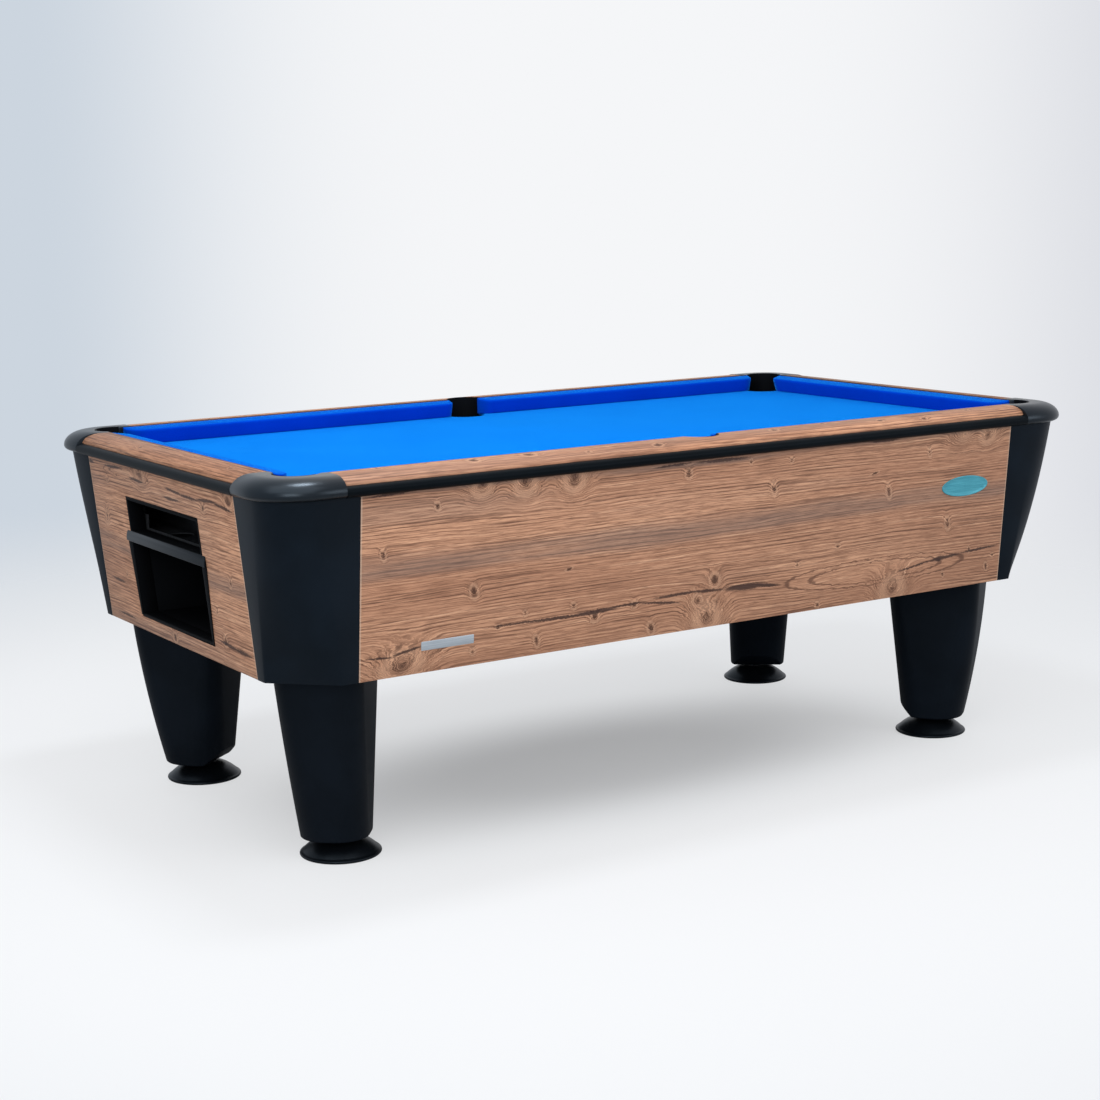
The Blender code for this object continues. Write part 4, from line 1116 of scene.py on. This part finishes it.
def make_bed_cloth():
    """Cloth stretched over the slate and turned down into each pocket."""
    inner = LINER_OUTSIDE + SLATE_CLEARANCE - CLOTH_THICKNESS - GAP
    rows = []
    for i in range(7):
        a = math.radians(90.0 * i / 6)
        rows.append((inner + CLOTH_BEND * (1 - math.sin(a)), -CLOTH_BEND * (1 - math.cos(a))))
    rows.append((inner, -CLOTH_TUCK))
    edge_x = cloth_half(half_length)
    edge_y = cloth_half(half_width)
    cut = POCKET_X + POCKET_Y - CLOTH_MARGIN
    places = pocket_places()
    bm = bmesh.new()
    outline = []
    order = [("back_plain", 1, 1), ("back_middle", 0, 1), ("back_return", -1, 1),
             ("front_return", -1, -1), ("front_middle", 0, -1), ("front_plain", 1, -1)]
    for name, sx, sy in order:
        centre, outward, reach = places[name]
        loops = []
        for radius, drop in rows:
            path = slot_path(centre, outward, radius, reach)
            loops.append([bm.verts.new((p, q, BED_Z + drop)) for p, q in path][::-1])
        for high, low in zip(loops, loops[1:]):
            for i in range(len(high) - 1):
                bm.faces.new((high[i], high[i + 1], low[i + 1], low[i]))
        before = []
        after = []
        if sx:
            first = (sx * edge_x, sy * (cut - edge_x))
            second = (sx * (cut - edge_y), sy * edge_y)
            ends = (first, second) if sx * sy > 0 else (second, first)
            before = [bm.verts.new((*ends[0], BED_Z))]
            after = [bm.verts.new((*ends[1], BED_Z))]
        outline += before + loops[0] + after
    bm.faces.new(outline)
    bmesh.ops.recalc_face_normals(bm, faces=bm.faces)
    top = max(bm.faces, key=lambda f: f.calc_area())
    if top.normal.z < 0.0:
        bmesh.ops.reverse_faces(bm, faces=bm.faces)
    area = sum(f.calc_area() for f in bm.faces)
    bmesh.ops.solidify(bm, geom=bm.faces[:], thickness=CLOTH_THICKNESS)
    cloth = piece(bm, "stretched_bed_cloth", "bed_cloth", ["bed_cloth"], crisp=60.0)


def make_liners():
    low = BED_Z - LINER_DROP
    high = RAIL_TOP_Z - GAP
    front_low = BED_Z - CLOTH_THICKNESS - SLATE_CLEARANCE
    cutter = 10 * OVERCUT
    wall = eased(
        [(LINER_INSIDE, low), (LINER_OUTSIDE, low), (LINER_OUTSIDE, high), (LINER_INSIDE, high)],
        [0.0008, 0.0008, 0.0012, 0.0016], 3,
    )
    steps = 96
    for name, (centre, outward, _) in pocket_places().items():
        rings = []
        for i in range(steps):
            a = 2 * math.pi * i / steps
            rings.append([(*on_circle(centre, p.x, a), p.y) for p in wall])
        tool = box((-cutter, -cutter, front_low), (LINER_FRONT_CUT, cutter, RAIL_TOP_Z + 2 * OVERCUT))
        bmesh.ops.rotate(tool, verts=tool.verts, matrix=Matrix.Rotation(math.radians(outward), 3, "Z"))
        bmesh.ops.translate(tool, verts=tool.verts, vec=(*centre, 0.0))
        bm = carve(loft(rings, round_trip=True), tool)
        piece(bm, "pocket_cup_" + name, "black_inside", ["pocket_liner_" + name])


# Ball return
def make_return():
    face = half_length
    half = RETURN_WIDTH / 2
    reach = face(BED_Z) + 2 * LIP_PROUD
    back = face(RETURN_BOTTOM_Z) - 2 * RETURN_DEPTH
    outline = [
        (face(RETURN_BOTTOM_Z), RETURN_BOTTOM_Z),
        (face(RETURN_TOP_Z), RETURN_TOP_Z),
        (face(RETURN_TOP_Z) - RETURN_DEPTH, RETURN_TOP_Z),
        (face(RETURN_BOTTOM_Z) - RETURN_DEPTH, RETURN_BOTTOM_Z),
    ]
    bm = prism(mirrored(outline, -1), along_y, -half, half)
    windows = (
        (BAR_TOP_Z, RETURN_TOP_Z - RETURN_FRAME),
        (RETURN_BOTTOM_Z + RETURN_FRAME, BAR_BOTTOM_Z),
    )
    for low, high in windows:
        bm = carve(bm, box((-reach, -RETURN_OPENING, low), (-back, RETURN_OPENING, high)))
    soften(bm, width=0.0010)
    piece(bm, "return_surround", "black_inside", ["return_bezel"])
    lip = [
        (face(BAR_BOTTOM_Z) + GAP, BAR_BOTTOM_Z),
        (face(BAR_BOTTOM_Z) + LIP_PROUD, BAR_BOTTOM_Z),
        (face(BAR_BOTTOM_Z) + LIP_PROUD, BAR_BOTTOM_Z + LIP_FACE),
        (face(BAR_TOP_Z) + GAP, BAR_TOP_Z),
    ]
    section = mirrored(eased(lip, [0.0, 0.0018, 0.0026, 0.0], 5), -1)
    bm = prism(section, along_y, -half - LIP_OVERLAP, half + LIP_OVERLAP)
    soften(bm, width=0.0014, segments=3, angle=50.0)
    piece(bm, "return_lip", "black_trim")
    foot_z = RETURN_BOTTOM_Z + CHEEK_RAISED
    head_z = BAR_BOTTOM_Z - GAP
    side = RETURN_OPENING + GAP
    for name, sy in SIDES.items():
        outline = [(side, foot_z), (CHEEK_FOOT, foot_z), (CHEEK_TOP, head_z), (side, head_z)]
        rings = [[(-face(q) - out, sy * p, q) for p, q in outline] for out in (GAP, CHEEK_PROUD)]
        bm = soften(loft(rings), width=0.0004)
        piece(bm, "return_cheek_" + name, "black_inside")
    make_tub(reach)
    make_tray()


def make_tub(reach):
    floor_z = RETURN_BOTTOM_Z + RETURN_FRAME - BIN_WALL
    top_z = TRAY_BOTTOM_Z - BIN_BELOW_TRAY
    side = RETURN_OPENING + BIN_WALL
    front_low = half_length(floor_z) - RETURN_DEPTH - GAP
    front_high = half_length(top_z) - RETURN_DEPTH - GAP
    rear = front_low - BIN_DEPTH
    outline = [(-front_low, floor_z), (-front_high, top_z), (-rear, top_z), (-rear, floor_z)]
    inner_floor = floor_z + BIN_WALL
    inner_rear = -rear - BIN_WALL
    over = top_z + BIN_WALL
    scoop = eased(
        [(-reach, inner_floor), (-reach, over), (inner_rear, over), (inner_rear, inner_floor)],
        [0.0, 0.0, 0.0, BIN_SCOOP], 12,
    )
    tool = prism(scoop, along_y, -RETURN_OPENING, RETURN_OPENING)
    bm = carve(prism(outline, along_y, -side, side), tool)
    soften(bm, width=0.0006)
    piece(bm, "return_tub", "black_inside", ["return_bin"])


def make_tray():
    low_x = -(half_length(TRAY_BOTTOM_Z) - RETURN_DEPTH - GAP)
    high_x = low_x + TRAY_WIDTH
    bm = box((low_x, -TRAY_HALF, TRAY_BOTTOM_Z), (high_x, TRAY_HALF, TRAY_TOP_Z))
    left = low_x + TRAY_WALL
    right = high_x - TRAY_WALL
    floor_z = TRAY_BOTTOM_Z + TRAY_WALL
    over = TRAY_TOP_Z + 2 * OVERCUT
    channel = eased(
        [(left, floor_z), (right, floor_z), (right, over), (left, over)],
        [TRAY_HOLLOW, TRAY_HOLLOW, 0.0, 0.0], 8,
    )
    bm = carve(bm, prism(channel, along_y, -TRAY_HALF - OVERCUT, TRAY_HALF + OVERCUT))
    view = RETURN_WIDTH / 2 - 2 * RETURN_FRAME
    front_low = (low_x - OVERCUT, -view, TRAY_BOTTOM_Z + TRAY_HOLLOW)
    bm = carve(bm, box(front_low, (low_x + 2 * TRAY_WALL, view, TRAY_TOP_Z + OVERCUT)))
    drop = ((low_x + high_x) / 2, DROP_PLACE)
    bm = carve(bm, drum(DROP_RADIUS, TRAY_BOTTOM_Z - 2 * OVERCUT, TRAY_TOP_Z, drop, 48))
    soften(bm, width=0.0006)
    piece(bm, "ball_channel", "painted_board", ["ball_tray"])


# Legs and feet
def rounded_rectangle(half_across, front, back, radius, steps):
    limit = min(radius, half_across, (front + back) / 2)
    corners = (
        (half_across - limit, front - limit, 0),
        (limit - half_across, front - limit, 90),
        (limit - half_across, limit - back, 180),
        (half_across - limit, limit - back, 270),
    )
    points = []
    for p, q, start in corners:
        points += arc((p, q), limit, limit, start, start + 90, steps)
    return points


def leg_ring(fall, shrink):
    """Leg outline at a share of the way down, as (across, outward) from the leg's own middle."""
    half = between(LEG_WIDTH, fall) / 2 - shrink
    deep = between(LEG_DEPTH, fall) / 2 - shrink
    bulge = LEG_BULGE * 4 * fall * (1 - fall)
    return rounded_rectangle(half, deep + bulge, deep, between(LEG_CORNER, fall), 9)


def make_legs():
    turn = math.radians(LEG_TURN)
    outward = Vector((math.cos(turn), math.sin(turn)))
    across = Vector((outward.y, -outward.x))
    top_z = BASE_Z - GAP
    edge_z = LEG_CLEARANCE + LEG_EDGE
    levels = [(top_z - down, shrink) for down, shrink in LEG_TOP_EASE]
    levels += [(between((top_z, edge_z), i / 20), 0.0) for i in range(1, 21)]
    for i in range(1, 7):
        a = math.radians(90.0 * i / 6)
        levels.append((edge_z - LEG_EDGE * math.sin(a), LEG_EDGE * (1 - math.cos(a))))
    heel = (
        (HEEL_IN, 0.0),
        (HEEL_IN, LEG_CLEARANCE),
        (HEEL_IN + HEEL_RUN, LEG_CLEARANCE + HEEL_RISE),
        (HEEL_IN + HEEL_RUN, 0.0),
    )
    for name, (sx, sy) in CORNERS.items():
        centre = (sx * FOOT_X, sy * FOOT_Y)

        def placed(p, q, z, offset=0.0):
            spot = across * p + outward * q
            return (sx * (FOOT_X + offset + spot.x), sy * (FOOT_Y + spot.y), z)

        rings = []
        for z, shrink in levels:
            fall = (top_z - z) / (top_z - LEG_CLEARANCE)
            offset = between(LEG_OFFSET, fall)
            rings.append([placed(p, q, z, offset) for p, q in leg_ring(fall, shrink)])
        wide = (-HEEL_RUN, HEEL_RUN)
        bm = carve(loft(rings), loft([[placed(p, -inward, z) for inward, z in heel] for p in wide]))
        bm = carve(bm, drum(STEM_RADIUS + BORE_CLEARANCE, 0.0, BORE_TOP, centre, 32))
        bm = carve(bm, drum(NUT_HOLLOW_RADIUS, 0.0, LEG_CLEARANCE + NUT_HOLLOW_DEPTH, centre, 48))
        soften(bm, width=0.0012, angle=24.0)
        piece(bm, "leg_moulding_" + name, "black_leg", ["leg_" + name], crisp=30.0)


def make_feet():
    socket = STEM_RADIUS + BORE_CLEARANCE
    rim = PAD_RIM / 2
    foot_of_dome = PAD_RADIUS - rim
    dome = []
    for i in range(1, 21):
        share = 1 - i / 20
        drop = (PAD_HEIGHT - PAD_RIM) * share * share
        dome.append((between((PAD_HUB, foot_of_dome), share), PAD_HEIGHT - drop))
    rim_edge = arc((foot_of_dome, rim), rim, rim, -90, 90, 12)
    profile = [(0.0, 0.0), (foot_of_dome - PAD_FLAT_INSET, 0.0), *rim_edge, *dome]
    profile += [(socket + 0.001, PAD_HEIGHT), (socket, PAD_HEIGHT - 0.001), (socket, STEM_SEAT - GAP)]
    profile.append((0.0, STEM_SEAT - GAP))
    for name, (sx, sy) in CORNERS.items():
        centre = (sx * FOOT_X, sy * FOOT_Y)
        bm = lathe(profile, 72, centre)
        pad = ["foot_pad_" + name]
        piece(bm, "pad_moulding_" + name, "black_trim", pad, "foot_" + name)
        stem = ["foot_stem_" + name]
        bm = stem_shape(centre)
        piece(bm, "levelling_screw_" + name, "zinc_steel", stem, "screw_" + name, crisp=34.0)


def stem_shape(centre):
    """Threaded stem with its hexagon, as one closed body."""
    low = PAD_HEIGHT + GAP
    high = low + NUT_HEIGHT
    steps = 24
    rows_per_turn = 6
    plain = [
        (STEM_RADIUS - STEM_EASE, STEM_SEAT),
        (STEM_RADIUS, STEM_SEAT + STEM_EASE),
        (STEM_RADIUS, high - 2 * THREAD_MARGIN),
    ]
    rings = [[(radius, z)] * steps for radius, z in plain]
    rows = int((STEM_TOP - 2 * THREAD_MARGIN - high) / THREAD_PITCH * rows_per_turn)
    for row in range(rows + 1):
        z = high + THREAD_MARGIN + (STEM_TOP - 3 * THREAD_MARGIN - high) * row / rows
        turns = [(z / THREAD_PITCH - i / steps) % 1.0 for i in range(steps)]
        rings.append([(STEM_RADIUS - THREAD_DEPTH * abs(2 * turn - 1), z) for turn in turns])
    rings.append([(STEM_RADIUS - STEM_POINT, STEM_TOP)] * steps)
    placed = []
    for ring in rings:
        turned = [(on_circle(centre, r, 2 * math.pi * i / steps), z) for i, (r, z) in enumerate(ring)]
        placed.append([(x, y, z) for (x, y), z in turned])
    corner = NUT_WIDTH / math.sqrt(3.0)
    nut = prism(arc(centre, corner, corner, 0, 300, 5), along_z, low, high)
    wide = corner + 0.0002
    chamfer = [
        (0.0, low - 0.001), (NUT_FACE_RADIUS, low - 0.001), (NUT_FACE_RADIUS, low),
        (wide, low + NUT_CHAMFER), (wide, high - NUT_CHAMFER),
        (NUT_FACE_RADIUS, high), (NUT_FACE_RADIUS, high + 0.001), (0.0, high + 0.001),
    ]
    nut = carve(nut, lathe(chamfer, 48, centre), "INTERSECT")
    return carve(loft(placed), nut, "UNION")


# Bare plates on the front
def on_front(along, height, out):
    """Point on the leaning front panel, a little proud of it."""
    return (along, -half_width(height) - out, height)


def make_plates():
    rings = []
    for inset, out in OVAL_STEPS:
        outline = arc(OVAL_PLATE, OVAL_HALF[0] - inset, OVAL_HALF[1] - inset, 0, 355, 71)
        rings.append([on_front(along, height, out) for along, height in outline])
    piece(loft(rings), "oval_plate", "turquoise_plate", crisp=50.0)
    outline = eased(LABEL_PLATE, 0.0025, 5)
    rings = []
    for inset, out in LABEL_STEPS:
        ring = []
        for p in outline:
            along = p.x - inset if p.x > LABEL_MIDDLE[0] else p.x + inset
            height = p.y - inset if p.y > LABEL_MIDDLE[1] else p.y + inset
            ring.append(on_front(along, height, out))
        rings.append(ring)
    piece(loft(rings), "blank_label_plate", "blank_plate", crisp=50.0)


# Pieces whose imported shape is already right
def dress_inner_pieces():
    for name, made in nodes.items():
        finish = None
        if name == "slate_bed":
            finish = "slate"
        elif name.startswith("gully_") or name in ("base_board", "bearer_return_outer"):
            finish = "painted_board"
        elif name.startswith("bearer_"):
            finish = "plywood"
        if finish:
            made.data.materials.clear()
            made.data.materials.append(FINISHES[finish])


# Studio
FLOOR_RADIUS = 7.0
FLOOR_IN_SHADE = (0.525, 0.530, 0.537, 1.0)
FLOOR_AWAY = (0.440, 0.450, 0.466, 1.0)
GLOW_IN_SHADE = (0.262, 0.262, 0.264, 1.0)
GLOW_AROUND = (0.594, 0.600, 0.608, 1.0)
SEEN_AROUND = (0.262, 0.265, 0.270, 1.0)
SEEN_AWAY = (0.222, 0.228, 0.236, 1.0)
NO_GLOW = (0.0, 0.0, 0.0, 1.0)
SKY_LIGHT = (0.62, 0.64, 0.67, 1.0)
VIEW_AHEAD = (0.560, 0.828)


def make_floor():
    """Pale paper that fades into the backdrop, clear from below. Camera rays see a painted glow that is
    weaker under the table and stronger around it, so the soft shade under the table is partly painted.
    """
    paper = Finish("studio_floor", Roughness=0.7, Specular_IOR_Level=0.1, Emission_Strength=1.0)
    seen = paper.ray("Camera")
    x, y = paper.split(paper.place())[:2]
    far = ((x + 0.2) ** 2.0 + y ** 2.0) ** 0.5
    away = paper.spread(far, 1.2, 2.6)
    # Painted light: for camera rays the floor glows and its colour shifts with distance from the table,
    # lifting the floor around the table more than beneath it.
    around = paper.spread((x ** 2.0 + (y * 2.0 + 0.2) ** 2.0) ** 0.5, 0.3, 1.2)
    painted_glow = paper.blend(around, GLOW_IN_SHADE, GLOW_AROUND)
    given = paper.blend(away, FLOOR_IN_SHADE, FLOOR_AWAY)
    shown = paper.blend(around, FLOOR_IN_SHADE, paper.blend(away, SEEN_AROUND, SEEN_AWAY))
    material = paper.wear(
        Base_Color=paper.blend(seen, given, shown), Emission_Color=paper.blend(seen, NO_GLOW, painted_glow),
    )
    share = paper.spread(far, 1.5, 5.0) | paper.node("ShaderNodeNewGeometry", output="Backfacing")
    solid = Value(paper, paper.shader.outputs[0])
    clear = paper.node("ShaderNodeBsdfTransparent")
    mixed = paper.node("ShaderNodeMixShader", {}, {0: share, 1: solid, 2: clear})
    paper.feed(paper.tree.nodes["Material Output"].inputs["Surface"], mixed)
    bm = bmesh.new()
    bmesh.ops.create_circle(bm, cap_ends=True, segments=96, radius=FLOOR_RADIUS)
    floor = as_object(bm, "studio_floor")
    floor.data.materials.append(material)


def make_world():
    """Pale studio backdrop, brightest behind the table, with a cooler left side."""
    world = bpy.data.worlds.new("studio")
    bpy.context.scene.world = world
    world.use_nodes = True
    sky = Nodes(world.node_tree)
    x, y = sky.split(sky.node("ShaderNodeTexCoord", output="Generated"))[:2]
    level = (x ** 2.0 + y ** 2.0) ** 0.5
    ahead = (x * VIEW_AHEAD[0] + y * VIEW_AHEAD[1]) / level
    aside = (x * VIEW_AHEAD[1] - y * VIEW_AHEAD[0]) / level
    edge = sky.blend(sky.spread(aside, -0.16, 0.16), colour(204, 213, 223), colour(218, 220, 226))
    shown = sky.blend(sky.spread(ahead, 0.965, 0.999), edge, colour(245, 246, 248))
    seen = sky.ray("Camera") | sky.ray("Glossy") | sky.ray("Transmission")
    back = sky.tree.nodes["Background"]
    sky.feed(back.inputs["Color"], sky.blend(seen, SKY_LIGHT, shown))
    back.inputs["Strength"].default_value = 1.0


def make_lamp(name, place, aim, size, power, tint):
    light = bpy.data.lights.new(name, "AREA")
    light.shape = "RECTANGLE"
    light.size = size[0]
    light.size_y = size[1]
    light.energy = power
    light.color = tint
    lamp = link(bpy.data.objects.new(name, light))
    lamp.location = place
    lamp.rotation_euler = (Vector(aim) - Vector(place)).to_track_quat("-Z", "Y").to_euler()


def make_lights():
    wide = (4.0, 3.0)
    small = (0.7, 0.45)
    soft = (2.6, 2.0)
    make_lamp("overhead", (-1.3, -1.3, 3.3), (0.0, 0.0, 0.8), wide, 56.0, (1.0, 1.0, 1.0))
    make_lamp("small_overhead", (-0.50, -0.1, 3.2), (-0.50, -0.1, 0.8), small, 30.0, (0.90, 0.95, 1.0))
    make_lamp("front_left", (-3.6, -4.2, 2.4), (0.0, -0.3, 0.6), soft, 70.0, (1.0, 0.99, 0.97))
    make_lamp("front_right", (2.6, -4.6, 2.2), (0.2, -0.3, 0.6), soft, 40.0, (0.98, 0.99, 1.0))


look_through_camera()
FINISHES = make_finishes()
make_panels()
make_posts()
make_rails()
make_caps()
make_cushions()
make_bed_cloth()
make_liners()
make_return()
make_legs()
make_feet()
make_plates()
dress_inner_pieces()
make_floor()
make_world()
make_lights()
bpy.context.scene.view_settings.view_transform = "Standard"
